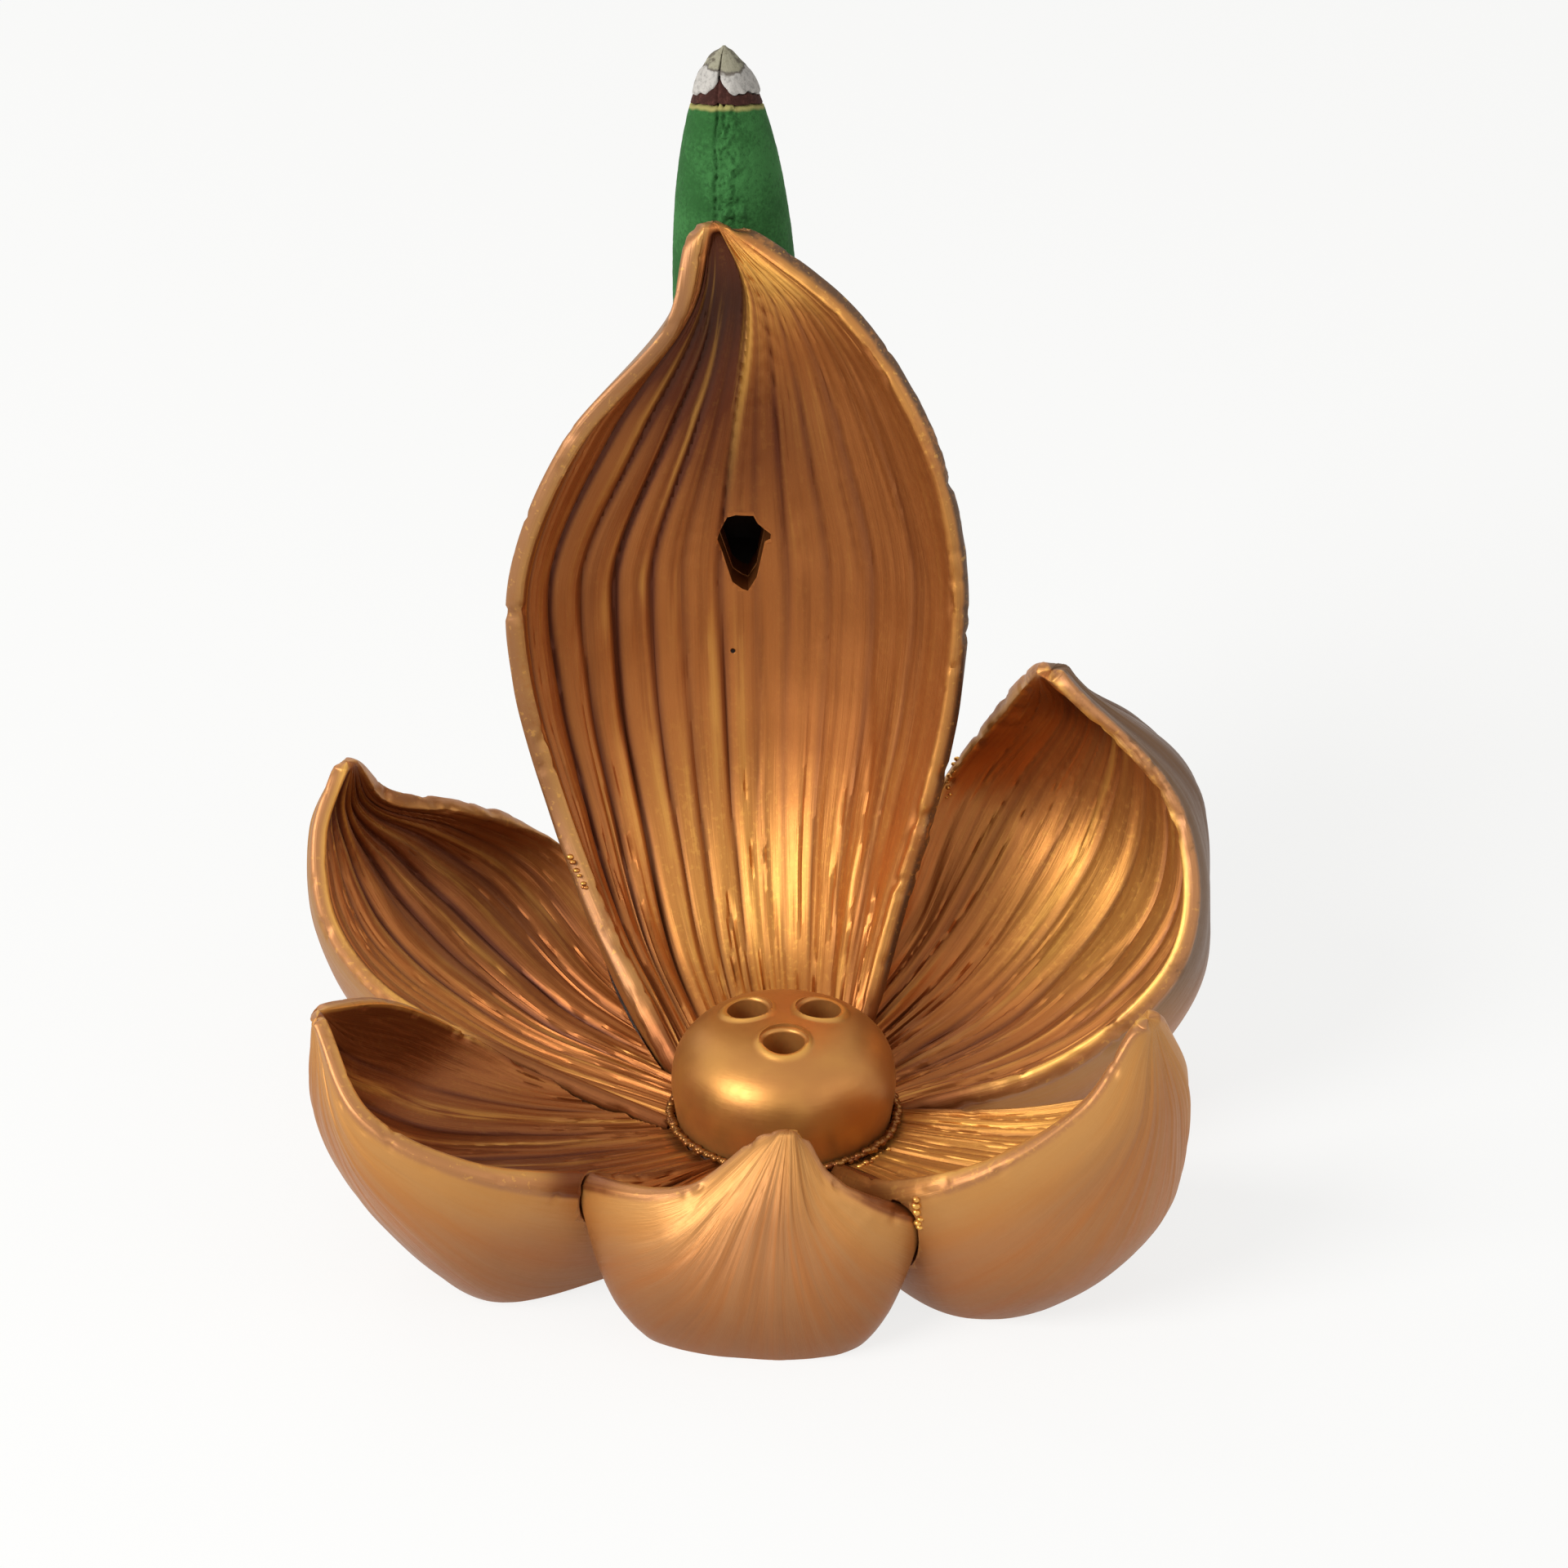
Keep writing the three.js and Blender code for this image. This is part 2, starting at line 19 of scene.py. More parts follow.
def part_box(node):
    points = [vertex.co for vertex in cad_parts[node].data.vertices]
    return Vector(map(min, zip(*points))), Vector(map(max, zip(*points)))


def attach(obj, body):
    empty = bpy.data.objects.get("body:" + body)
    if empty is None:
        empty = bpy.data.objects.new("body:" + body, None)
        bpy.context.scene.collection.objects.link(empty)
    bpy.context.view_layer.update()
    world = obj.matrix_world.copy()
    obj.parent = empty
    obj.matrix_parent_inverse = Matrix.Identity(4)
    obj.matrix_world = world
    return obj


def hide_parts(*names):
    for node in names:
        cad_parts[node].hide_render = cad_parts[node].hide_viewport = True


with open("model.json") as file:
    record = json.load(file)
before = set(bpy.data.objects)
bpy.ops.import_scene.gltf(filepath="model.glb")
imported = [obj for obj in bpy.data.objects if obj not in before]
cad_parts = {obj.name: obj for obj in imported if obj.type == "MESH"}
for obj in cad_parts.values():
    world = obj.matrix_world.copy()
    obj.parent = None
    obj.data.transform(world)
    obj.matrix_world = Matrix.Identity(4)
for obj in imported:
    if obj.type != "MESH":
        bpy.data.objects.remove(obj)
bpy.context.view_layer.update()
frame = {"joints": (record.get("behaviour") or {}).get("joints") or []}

MM = 0.001

bl_info = {
    "name": "Lotus incense burner",
    "version": (1, 0, 0),
    "blender": (4, 5, 0),
    "location": "3D View > Sidebar > Burner",
    "description": "Makes the petals, pod, stand, incense cone and stage of a lotus burner",
    "category": "Object",
}


# Places taken from the frame

HUB_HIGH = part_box("receptacle_hub")[1]
POD_LOW, POD_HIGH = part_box("seed_pod")
DISC_LOW, DISC_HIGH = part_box("seat_disc")
CONE_LOW, CONE_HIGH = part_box("incense_cone")
CHAR_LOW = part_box("cone_char_band")[0]
ASH_LOW, ASH_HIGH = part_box("cone_ash_tip")
STAND_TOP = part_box("cone_stand")[1].z

HUB_RADIUS = HUB_HIGH.x
HUB_TOP = HUB_HIGH.z
POD_FOOT = POD_LOW.z
POD_TOP = POD_HIGH.z
SEAT_X = (DISC_LOW.x + DISC_HIGH.x) / 2
SEAT_Y = (DISC_LOW.y + DISC_HIGH.y) / 2
DISC_RADIUS = (DISC_HIGH.x - DISC_LOW.x) / 2
CONE_BASE = CONE_LOW.z
CONE_RADIUS = (CONE_HIGH.y - CONE_LOW.y) / 2
CONE_TOP = ASH_HIGH.z
FIT = POD_FOOT - HUB_TOP

# Petal lines, as the frame's petals have them, in millimetres: bearing round the pod, width
# at the root, how far each half of the section closes in degrees, how squarely the back meets
# the rims, how thick the rim is and how many rows the mesh has. Middle and back are [out, up],
# the rims [out, left, up].
# Folds are grooves of the inner face as (line, depth), from -1 at the right rim to 1 at the
# left, with depth as a share of the fold depth; towards the tip they swing and gather.
# Beak is how deep the tip is hollowed, in millimetres, and seed what its chance starts from.
# Painted shading patches are soft patches of painted light and shade as (across, along, width,
# length, strength), from painted shade below zero to painted light above. Rags are rough
# stretches of rim as (side, along, length, height).
# Edges tell how the left and right rims are painted, from painted shade at -1 over plain to
# gold at 1, which is worn gilding with a painted highlight. Back shade is how much painted shade
# darkens the back, ribs how strong its fine ribs are and melt how far its rims sink where they
# meet a neighbour.
PETALS = {
    "tall_rear_petal": {
        "bearing": 99, "width": 19, "curl": (84, 52), "belly": 2.6, "rim": 2, "rows": 190,
        "middle": [[28, 15], [37.5, 27], [42, 41], [43.6, 57], [43.8, 76], [42.6, 90]],
        "left": [[26, 16.5, 23], [33, 20.3, 34], [36, 23.6, 48], [36.5, 23.8, 60], [36.8, 17.4, 75.5],
                 [40.6, 5.2, 88]],
        "right": [[18, -15, 23.5], [21, -19, 34], [24, -22.8, 48], [26, -23.8, 62],
                  [28.5, -20.5, 77], [34, -13, 89.5]],
        "back": [[30, 1.5], [40, 13.5], [45.5, 30], [47, 52], [47, 74], [45.5, 89]],
        "tip": (43.5, 0.8, 98.5), "tip_back": (45, 98.5),
        "folds": [(0.86, 0.5), (0.67, 1.0), (0.52, 0.8), (0.385, 1.0), (0.24, 0.55), (0.13, 0.4),
                  (0.0, 0.4), (-0.14, 0.1), (-0.27, 0.22), (-0.43, 0.16), (-0.6, 0.24),
                  (-0.78, 0.16)],
        "swing": -0.24, "gather": 1.8, "seed": 11, "beak": 1.5,
        "rags": [(-1, 0.25, 0.06, 0.5), (-1, 0.7, 0.2, 0.3)], "edges": (-0.3, -1), "bark": 0.6,
        "ribs": 1, "melt": 0.75,
        "painted_shading_patches": [(0.3, 0.86, 0.45, 0.07, -0.6), (-0.03, 0.7, 0.35, 0.08, -1.2),
                  (-0.6, 0.93, 0.4, 0.05, 1.2), (-0.1, 0.18, 0.6, 0.15, 0.9),
                  (0.6, 0.62, 0.35, 0.2, -0.5), (-0.5, 0.58, 0.4, 0.2, -0.35),
                  (0.75, 0.25, 0.25, 0.2, -0.4)],
    },
    "rear_left_petal": {
        "bearing": 152, "width": 14, "curl": (76, 62), "belly": 2.7, "rim": 1.4, "rows": 120,
        "middle": [[33.5, 11.5], [48, 19], [53.5, 27], [55, 35]],
        "left": [[29, 11, 15.5], [42.5, 14, 21], [50, 13, 27.5], [53.5, 9, 35.5]],
        "right": [[27, -17, 14.5], [41, -24, 20.8], [48, -14, 28.8], [53, -3.5, 33.8]],
        "back": [[42, 1], [54.2, 14], [57.3, 24.5], [56.5, 34.5]],
        "tip": (53.5, 3.2, 41.5), "tip_back": (54.5, 41.5),
        "folds": [(0.84, 0.6), (0.66, 0.9), (0.47, 1.0), (0.27, 0.8), (0.08, 0.75), (-0.12, 0.8),
                  (-0.3, 0.5), (-0.52, 0.25), (-0.72, 0.1)],
        "swing": 0.15, "gather": 0.6, "seed": 24, "beak": 0.7, "rags": [(-1, 0.55, 0.12, 0.8)],
        "edges": (1, 0), "bark": 0.3, "ribs": 1, "melt": 0,
        "painted_shading_patches": [(-0.5, 0.75, 0.7, 0.35, -1.2), (0.95, 0.55, 0.12, 0.3, 0.9),
                  (-0.3, 0.3, 0.4, 0.2, -0.5), (0.3, 0.35, 0.3, 0.2, 0.3)],
    },
    "rear_right_petal": {
        "bearing": 40, "width": 14, "curl": (66, 76), "belly": 2.9, "rim": 1.5, "rows": 120,
        "middle": [[32, 12.5], [47.5, 25], [49.8, 39.7]],
        "left": [[28, 14.5, 19], [39, 18.5, 29.5], [41.5, 11.3, 41]],
        "right": [[26, -18.5, 16], [37.5, -22.8, 27], [43, -15.5, 39.5]],
        "back": [[36, -2.5], [53.2, 13.5], [52.8, 32]],
        "tip": (38, -0.2, 51.7), "tip_back": (41.5, 52),
        "folds": [(0.6, 0.08), (0.3, 0.14), (0.06, 0.25), (-0.16, 0.3), (-0.36, 0.45),
                  (-0.54, 0.7), (-0.7, 0.95), (-0.84, 0.8)],
        "swing": -0.1, "gather": 0.6, "seed": 37, "beak": 0.7, "rags": [(1, 0.75, 0.08, 1)],
        "edges": (0.3, 1), "bark": 0.9, "ribs": 1, "melt": 0.3,
        "painted_shading_patches": [(-0.1, 0.45, 0.5, 0.16, 1), (0, 0.12, 0.7, 0.12, -0.55),
                  (-0.9, 0.7, 0.15, 0.3, 0.7), (0.4, 0.85, 0.6, 0.14, -0.8)],
    },
    "front_petal": {
        "bearing": -94, "width": 14, "curl": (66, 84), "belly": 4, "rim": 1.5, "rows": 110,
        "middle": [[22, 8.5], [29, 9.5], [32.5, 13], [32, 18.5]],
        "left": [[19.5, 13.5, 12.5], [26, 16, 14.5], [29.5, 11, 17.5], [30, 6, 20.7]],
        "right": [[19.5, -14.5, 12.8], [24.5, -19, 16], [30.5, -11.5, 18.1],
                  [30.5, -5.5, 19]],
        "back": [[26.5, -5.5], [34.7, -1.5], [38, 7], [36.2, 17]],
        "tip": (29, 2.5, 24.5), "tip_back": (32, 26),
        "folds": [(0.7, 0.4), (0.42, 0.5), (0.12, 0.4), (-0.2, 0.5), (-0.5, 0.5), (-0.75, 0.4)],
        "swing": 0, "gather": 0.2, "seed": 41, "beak": 0.3, "rags": [(1, 0.7, 0.2, 0.5)],
        "edges": (0.7, 0.7), "bark": 0, "ribs": 0.55, "melt": 0,
        "painted_shading_patches": [(0, 0.3, 0.8, 0.3, -0.6)],
    },
    "front_left_petal": {
        "bearing": 203, "width": 14, "curl": (86, 66), "belly": 7, "rim": 1.3, "rows": 120,
        "middle": [[29.5, 10.5], [44.5, 15], [51.8, 23]],
        "left": [[28, 13.5, 16.3], [42.5, 14.5, 21.7], [51.5, 8.5, 26.5]],
        "right": [[23.5, -11.5, 13.3], [32, -13, 20], [42, -9, 28.3]],
        "back": [[37.5, -3], [49.6, 9], [54.5, 21]],
        "tip": (53.2, -1.1, 33.5), "tip_back": (53.8, 32.5),
        "folds": [(0.8, 0.35), (0.62, 0.5), (0.42, 0.5), (0.2, 0.45), (-0.04, 0.4), (-0.32, 0.3),
                  (-0.62, 0.15)],
        "swing": 0.1, "gather": 0.5, "seed": 58, "beak": 0.5, "rags": [],
        "edges": (0.4, 0.7), "bark": 0, "ribs": 0.6, "melt": 0,
        "painted_shading_patches": [(0.2, 0.7, 1.6, 0.5, -1.6), (0, 0.2, 0.8, 0.15, -0.5)],
    },
    "front_right_petal": {
        "bearing": -30, "width": 14, "curl": (66, 84), "belly": 6, "rim": 1.4, "rows": 120,
        "middle": [[31, 11.5], [42, 17.5], [45.6, 26.5]],
        "left": [[25, 9, 13], [35.5, 10, 17.5], [43.5, 7, 24]],
        "right": [[24, -18, 18], [34.5, -16.5, 23], [42, -9, 28.5]],
        "back": [[34.5, -3], [46.8, 9], [48.9, 22.5]],
        "tip": (45, -2, 36), "tip_back": (46.5, 35),
        "folds": [(0.6, 0.25), (0.3, 0.4), (0.0, 0.45), (-0.3, 0.4), (-0.6, 0.35)],
        "swing": 0, "gather": 0.4, "seed": 63, "beak": 0.5, "rags": [],
        "edges": (0.4, 0.8), "bark": 0, "ribs": 0.5, "melt": 0,
        "painted_shading_patches": [(0.2, 0.6, 1.8, 0.6, 1.8)],
    },
}

# How a petal starts under the pod and how wide its tip is, in millimetres
ROOT_TUCK = 1.5
ROOT_LIFT = 1
ROOT_DEPTH = 4
TIP_WIDTH = 2.4

# The least wall in the middle and at the rims, in millimetres, and where it starts to thin
MIDDLE_WALL = 2.2
RIM_WALL = 1.2
WALL_THINS_FROM = 0.75
WALL_EASE = 0.8

# The greatest share of the wall that a fold cuts, the place of a crest between its grooves and
# the depth under which a groove is only engraved
FOLD_LIMIT = 0.42
FOLD_CREST = 0.32
ENGRAVED = 0.24

# Where the folds gather towards the tip and how strongly
GATHER_FROM = 0.55
GATHER_TO = 0.97
GATHER_POWER = 1.5

# Rims: the share of the half width where the rounding starts, its steps, how far it bulges,
# the rings that round off the tip, their height and how far in from a rim that meets its
# neighbour the inner face sinks, in millimetres
RIM_FROM = 0.98
RIM_STEPS = 7
RIM_BULGE = 0.45
TIP_RINGS = 6
TIP_HEIGHT = 0.5
MELT_WIDTH = 6


# Settings

def size(name, description, default, low=0.0, high=1.0):
    return bpy.props.FloatProperty(name=name, description=description, default=default,
                                   min=low, soft_max=high, unit="LENGTH", precision=5)


def share(name, description, default, low=0.0, high=1.0):
    return bpy.props.FloatProperty(name=name, description=description, default=default,
                                   min=low, soft_max=high, subtype="FACTOR")


def count(name, description, default, low=1, high=1000):
    return bpy.props.IntProperty(name=name, description=description, default=default,
                                 min=low, soft_max=high)


def power(name, description, default):
    return bpy.props.FloatProperty(name=name, description=description, default=default, min=0,
                                   subtype="POWER")


def linear(code):
    """The linear colour of a web colour code."""
    channels = [int(code[i:i + 2], 16) / 255 for i in (1, 3, 5)]
    return [c / 12.92 if c <= 0.04045 else ((c + 0.055) / 1.055) ** 2.4 for c in channels]


def paint(name, description, code):
    return bpy.props.FloatVectorProperty(name=name, description=description, size=3,
                                         default=linear(code), min=0, max=1, subtype="COLOR")


class BurnerPetalSettings(bpy.types.PropertyGroup):
    fold_depth: size("Fold depth", "Depth of the deepest carved fold", 1.1 * MM, 0, 4 * MM)
    rib_depth: size("Rib depth", "Depth of the fine ribs between the folds", 0.4 * MM, 0, 2 * MM)
    back_depth: size("Back rib depth", "Depth of the ribs on the backs", 0.7 * MM, 0, 2 * MM)
    rib_count: count("Ribs", "Fine ribs across half a petal", 11, 1, 40)
    back_count: count("Back ribs", "Ribs across half a petal's back", 7, 1, 40)
    wander: share("Wander", "How far the ribs stray sideways along a petal", 0.1)
    columns: count("Columns", "Faces across half a petal", 80, 8, 160)
    gap: size("Glue gap", "Gap between neighbouring petals", FIT, 0, MM)


class BurnerPaintSettings(bpy.types.PropertyGroup):
    # gold of the worn gilding, also laid as painted highlight on crests, rims, the tip's crease and
    # the pod's lips
    gold: paint("Gold", "Rubbed crests and rims", "#E0A850")
    copper: paint("Copper", "Body colour of the inner faces", "#B06C34")
    # red-brown wash, also laid as painted shade in the grooves, the tip's hollow, round the pod's
    # foot and where rims meet; the backs darken with it towards the bottom
    wash_and_shade: paint("Wash", "Red-brown wash in the folds", "#622E12")
    # dark brown of the patina in the deepest grooves, there also painted shade as in the tip's
    # hollow; the bare resin's blotches use it too
    patina_and_shade: paint("Patina", "Dark wash left in the deepest grooves", "#42200F")
    tan: paint("Tan", "Duller colour of the petals' backs", "#AC7546")
    # painted shade on the upper backs of the rear petals and the stand, and on the rims painted dark
    bark: paint("Back_shade", "Dull dark coat of the rear petals' backs", "#503B2B")
    pod: paint("Pod", "Colour of the seed pod", "#B87C40")
    raw: paint("Raw resin", "Unpainted resin of the underside", "#6B4228")
    soot: paint("Soot", "Tar round the smoke outlet", "#1B110B")
    steel: paint("Steel", "Seat disc", "#B9B4AB")
    green: paint("Green", "Unburnt incense", "#265826")
    char: paint("Char", "Burnt band", "#35170F")
    ash: paint("Ash", "Ash plates", "#BDB8B1")


class BurnerPodSettings(bpy.types.PropertyGroup):
    widest: size("Widest height", "Height of the widest ring above the foot", 4.5 * MM, 0, 0.02)
    squareness: share("Squareness", "Power of the dome's outline", 2.6, 2, 5)
    foot: size("Foot radius", "Radius of the pod at its foot", HUB_RADIUS, 0, 0.05)
    hole: size("Hole radius", "Radius of a stick hole", 2.3 * MM, 0, 0.01)
    depth: size("Hole depth", "Depth of a stick hole", 5 * MM, 0, 0.02)
    circle: size("Hole circle", "Radius of the circle of holes", 4.7 * MM, 0, 0.02)
    lip: size("Lip", "Height of the raised lip round a hole", 0.3 * MM, 0, MM)


class BurnerConeSettings(bpy.types.PropertyGroup):
    bluntness: share("Bluntness", "Inner power of the cone's outline", 2.4, 1, 5)
    shoulder: share("Shoulder", "Outer power of the cone's outline", 0.6, 0, 2)
    radius: size("Radius", "Radius at the foot", CONE_RADIUS, 0, 0.02)
    lean: size("Lean", "How far the top leans to the left", 1.4 * MM, 0, 0.01)
    bore: size("Bore", "Radius of the smoke bore", 1.6 * MM, 0, 0.01)
    bore_depth: size("Bore depth", "Depth of the smoke bore", 24 * MM, 0, 0.05)
    grain: size("Grain", "Roughness of the pressed powder", 0.1 * MM, 0, MM)
    seam: share("Seam", "Bearing of the cracked seam in turns", -0.292, -1, 1)


class BurnerStageSettings(bpy.types.PropertyGroup):
    lens: bpy.props.FloatProperty(name="Lens", description="Focal length of the camera",
                                  default=135.9, min=10, subtype="DISTANCE_CAMERA")
    distance: size("Distance", "From the camera to the aim", 0.65, 0.1, 2)
    elevation: bpy.props.FloatProperty(name="Elevation", description="Camera above the horizon",
                                       default=math.radians(28), subtype="ANGLE")
    key: power("Key", "Power of the key lamp", 9.5)
    fill: power("Fill", "Power of the fill lamp and of the back lamp", 1.2)
    ambient: share("Ambient", "Strength of the surroundings", 0.36, 0, 2)


# Node trees

class Wire:
    """An output of a node that works in arithmetic: each operation adds its Math node."""

    def __init__(self, graph, socket):
        self.graph = graph
        self.socket = socket

    def __neg__(self):
        return self.graph.math("SUBTRACT", 0.0, self)

    def __add__(self, other):
        return self.graph.math("ADD", self, other)

    def __radd__(self, other):
        return self.graph.math("ADD", other, self)

    def __sub__(self, other):
        return self.graph.math("SUBTRACT", self, other)

    def __rsub__(self, other):
        return self.graph.math("SUBTRACT", other, self)

    def __mul__(self, other):
        return self.graph.math("MULTIPLY", self, other)

    def __rmul__(self, other):
        return self.graph.math("MULTIPLY", other, self)

    def __truediv__(self, other):
        return self.graph.math("DIVIDE", self, other)

    def __rtruediv__(self, other):
        return self.graph.math("DIVIDE", other, self)


class Graph:
    """A node tree under construction."""

    def __init__(self, tree):
        self.tree = tree

    def add(self, kind, settings=None, sockets=None, outlet=0):
        """One node: its settings come first, then the values or links of its sockets."""
        node = self.tree.nodes.new(kind)
        for name, value in (settings or {}).items():
            if name == "points":
                self.set_points(node.mapping, value)
            else:
                setattr(node, name, value)
        for name, value in (sockets or {}).items():
            if isinstance(value, Wire):
                self.tree.links.new(value.socket, node.inputs[name])
            else:
                node.inputs[name].default_value = value
        return Wire(self, node.outputs[outlet]) if node.outputs else node

    @staticmethod
    def set_points(mapping, points):
        """Places the points of a float curve, given as (x, y, handle)."""
        curve = mapping.curves[0]
        while len(curve.points) < len(points):
            curve.points.new(0.5, 0.5)
        for point, (x, y, handle) in zip(curve.points, points):
            point.location = (x, y)
            point.handle_type = handle
        mapping.update()

    def math(self, operation, *values, clamp=False):
        settings = {"operation": operation, "use_clamp": clamp}
        return self.add("ShaderNodeMath", settings, dict(enumerate(values)))

    def clamp(self, value):
        return self.math("ADD", value, 0.0, clamp=True)

    def attributes(self, *names):
        return [self.attribute(name) for name in names]

    def ramp(self, value, low, high):
        """Smooth rise from 0 at low to 1 at high."""
        settings = {"interpolation_type": "SMOOTHSTEP"}
        return self.add("ShaderNodeMapRange", settings, {0: value, 1: low, 2: high, 3: 0.0, 4: 1.0})

    def fall(self, value, low, high):
        """Smooth fall from 1 at low to 0 at high."""
        return 1.0 - self.ramp(value, low, high)

    def near(self, value, width):
        """1 where a value is 0, falling to 0 at a width to either side."""
        return self.fall(self.math("ABSOLUTE", value), 0.0, width)

    def blend(self, factor, low, high):
        """Number between low and high."""
        return self.add("ShaderNodeMix", {"data_type": "FLOAT"}, {0: factor, 2: low, 3: high})

    def tint(self, factor, low, high):
        """Colour between low and high."""
        low, high = [c if isinstance(c, Wire) else (*c, 1) for c in (low, high)]
        sockets = {0: factor, 6: low, 7: high}
        return self.add("ShaderNodeMix", {"data_type": "RGBA"}, sockets, outlet=2)

    def vector(self, x, y, z):
        return self.add("ShaderNodeCombineXYZ", None, {0: x, 1: y, 2: z})

    def axis(self, place, number):
        """One coordinate of a place: 0 for x, 1 for y, 2 for z."""
        return self.add("ShaderNodeSeparateXYZ", None, {0: place}, outlet=number)

    def noise(self, where, scale, detail=2.0, roughness=0.5):
        sockets = {"Vector": where, "Scale": scale, "Detail": detail, "Roughness": roughness}
        return self.add("ShaderNodeTexNoise", {"noise_dimensions": "3D"}, sockets)

    def seen(self):
        """1 for rays from the camera or through gloss or glass, 0 for rays that light."""
        rays = [self.add("ShaderNodeLightPath", None, None, outlet=i) for i in (0, 3, 6)]
        return self.math("MAXIMUM", self.math("MAXIMUM", rays[0], rays[1]), rays[2])


class ShapeGraph(Graph):
    """A Geometry Nodes tree whose named inputs are its sizes, its whole numbers and a material."""

    def __init__(self, name, sizes, numbers=()):
        super().__init__(bpy.data.node_groups.new(name, "GeometryNodeTree"))
        face = self.tree.interface
        face.new_socket("Geometry", in_out="OUTPUT", socket_type="NodeSocketGeometry")
        kinds = {"Geometry": "Geometry", **dict.fromkeys(sizes, "Float"),
                 **dict.fromkeys(numbers, "Int"), "Material": "Material"}
        self.identifiers = {}
        for label, kind in kinds.items():
            socket = face.new_socket(label, in_out="INPUT", socket_type="NodeSocket" + kind)
            self.identifiers[label] = socket.identifier
        entry = self.tree.nodes.new("NodeGroupInput")
        self.inputs = {s.name: Wire(self, s) for s in entry.outputs if s.name}

    def attribute(self, name):
        settings = {"data_type": "FLOAT"}
        return self.add("GeometryNodeInputNamedAttribute", settings, {"Name": name})

    def store(self, geometry, name, value):
        settings = {"data_type": "FLOAT", "domain": "POINT"}
        sockets = {"Geometry": geometry, "Name": name, "Value": value}
        return self.add("GeometryNodeStoreNamedAttribute", settings, sockets)

    def push(self, geometry, height):
        """Moves points along their normals by a height."""
        sockets = {0: self.add("GeometryNodeInputNormal"), "Scale": height}
        offset = self.add("ShaderNodeVectorMath", {"operation": "SCALE"}, sockets)
        sockets = {"Geometry": geometry, "Offset": offset}
        return self.add("GeometryNodeSetPosition", None, sockets)

    def finish(self, geometry, material):
        """Ends the tree: instances made real, material set, output joined."""
        real = self.add("GeometryNodeRealizeInstances", None, {"Geometry": geometry})
        sockets = {"Geometry": real, "Material": material}
        self.add("NodeGroupOutput", None, {0: self.add("GeometryNodeSetMaterial", None, sockets)})

    def apply_to(self, piece, values):
        """Runs the tree on a piece with these input values and keeps the plain mesh."""
        modifier = piece.modifiers.new("shape", "NODES")
        modifier.node_group = self.tree
        for label, value in values.items():
            modifier[self.identifiers[label]] = value
        settle(piece)


class PaintGraph(Graph):
    """A material with a Principled shader."""

    def __init__(self, name, **uniform):
        self.material = bpy.data.materials.new(name)
        self.material.use_nodes = True
        super().__init__(self.material.node_tree)
        self.tree.nodes.clear()
        sockets = {label.replace("_", " "): value for label, value in uniform.items()}
        self.shader = self.add("ShaderNodeBsdfPrincipled", None, sockets)
        self.leave = self.add("ShaderNodeOutputMaterial", None, {0: self.shader})
        self.place = self.add("ShaderNodeTexCoord", None, None, outlet=3)

    def attribute(self, name):
        return self.add("ShaderNodeAttribute", {"attribute_name": name}, None, outlet=2)

    def connect(self, label, wire):
        self.tree.links.new(wire.socket, self.shader.socket.node.inputs[label])

    def relief(self, height, distance, strength=1.0):
        sockets = {"Height": height, "Distance": distance, "Strength": strength}
        self.connect("Normal", self.add("ShaderNodeBump", None, sockets))


# Meshes

def new_piece(name, points, faces, edges=()):
    """A mesh object at the origin, from points in metres."""
    mesh = bpy.data.meshes.new(name)
    mesh.from_pydata(np.asarray(points).reshape(-1, 3).tolist(), edges, faces)
    piece = bpy.data.objects.new(name, mesh)
    bpy.context.scene.collection.objects.link(piece)
    return piece


def store_values(piece, attributes, grid=None):
    """Stores float values on a piece's points, by name, spread over their grid."""
    grid = grid or (len(piece.data.vertices),)
    for label, values in attributes.items():
        layer = piece.data.attributes.new(label, "FLOAT", "POINT")
        layer.data.foreach_set("value", np.broadcast_to(values, grid).astype(np.float32).ravel())


def settle(piece):
    """Turns a piece and its modifiers into a plain mesh."""
    graph = bpy.context.evaluated_depsgraph_get()
    mesh = bpy.data.meshes.new_from_object(piece.evaluated_get(graph),
                                           preserve_all_data_layers=True, depsgraph=graph)
    piece.modifiers.clear()
    old = piece.data
    piece.data = mesh
    bpy.data.meshes.remove(old)
    return piece


def combine(piece, operation, *others):
    """Joins others to a piece, cuts them from it, or keeps what they share."""
    for other in others:
        modifier = piece.modifiers.new("cut", "BOOLEAN")
        modifier.operation = operation
        modifier.solver = "MANIFOLD"
        modifier.object = other
    return settle(piece)


def discard(*pieces):
    for piece in pieces:
        bpy.data.objects.remove(piece)


def smooth(piece, angle=40):
    """Smooth shading with the edges sharper than an angle kept."""
    mesh = piece.data
    mesh.polygons.foreach_set("use_smooth", np.ones(len(mesh.polygons), bool))
    mesh.set_sharp_from_angle(angle=math.radians(angle))


def mount(piece, material, body, node):
    """Gives a finished piece its one material, its body and the node it shows."""
    mesh = piece.data
    mesh.materials.clear()
    mesh.materials.append(material)
    mesh.polygons.foreach_set("material_index", np.zeros(len(mesh.polygons), np.int32))
    if mesh.validate():
        raise RuntimeError(f"{piece.name} has a broken mesh")
    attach(piece, body)
    if node:
        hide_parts(node)


def ring_faces(rows, columns, closed_rows=False):
    """Quads over rows of closed rings, as point numbers."""
    row = np.arange(rows if closed_rows else rows - 1)[:, None]
    column = np.arange(columns)[None]
    after, beside = (row + 1) % rows, (column + 1) % columns
    quads = [row * columns + column, row * columns + beside,
             after * columns + beside, after * columns + column]
    return np.stack(quads, -1).reshape(-1, 4)


def fan_faces(rings, steps):
    """Triangles that close the first and the last ring at the two poles that follow them."""
    pole, last = rings * steps, (rings - 1) * steps
    faces = []
    for i in range(steps):
        j = (i + 1) % steps
        faces += [[pole, j, i], [pole + 1, last + i, last + j]]
    return faces


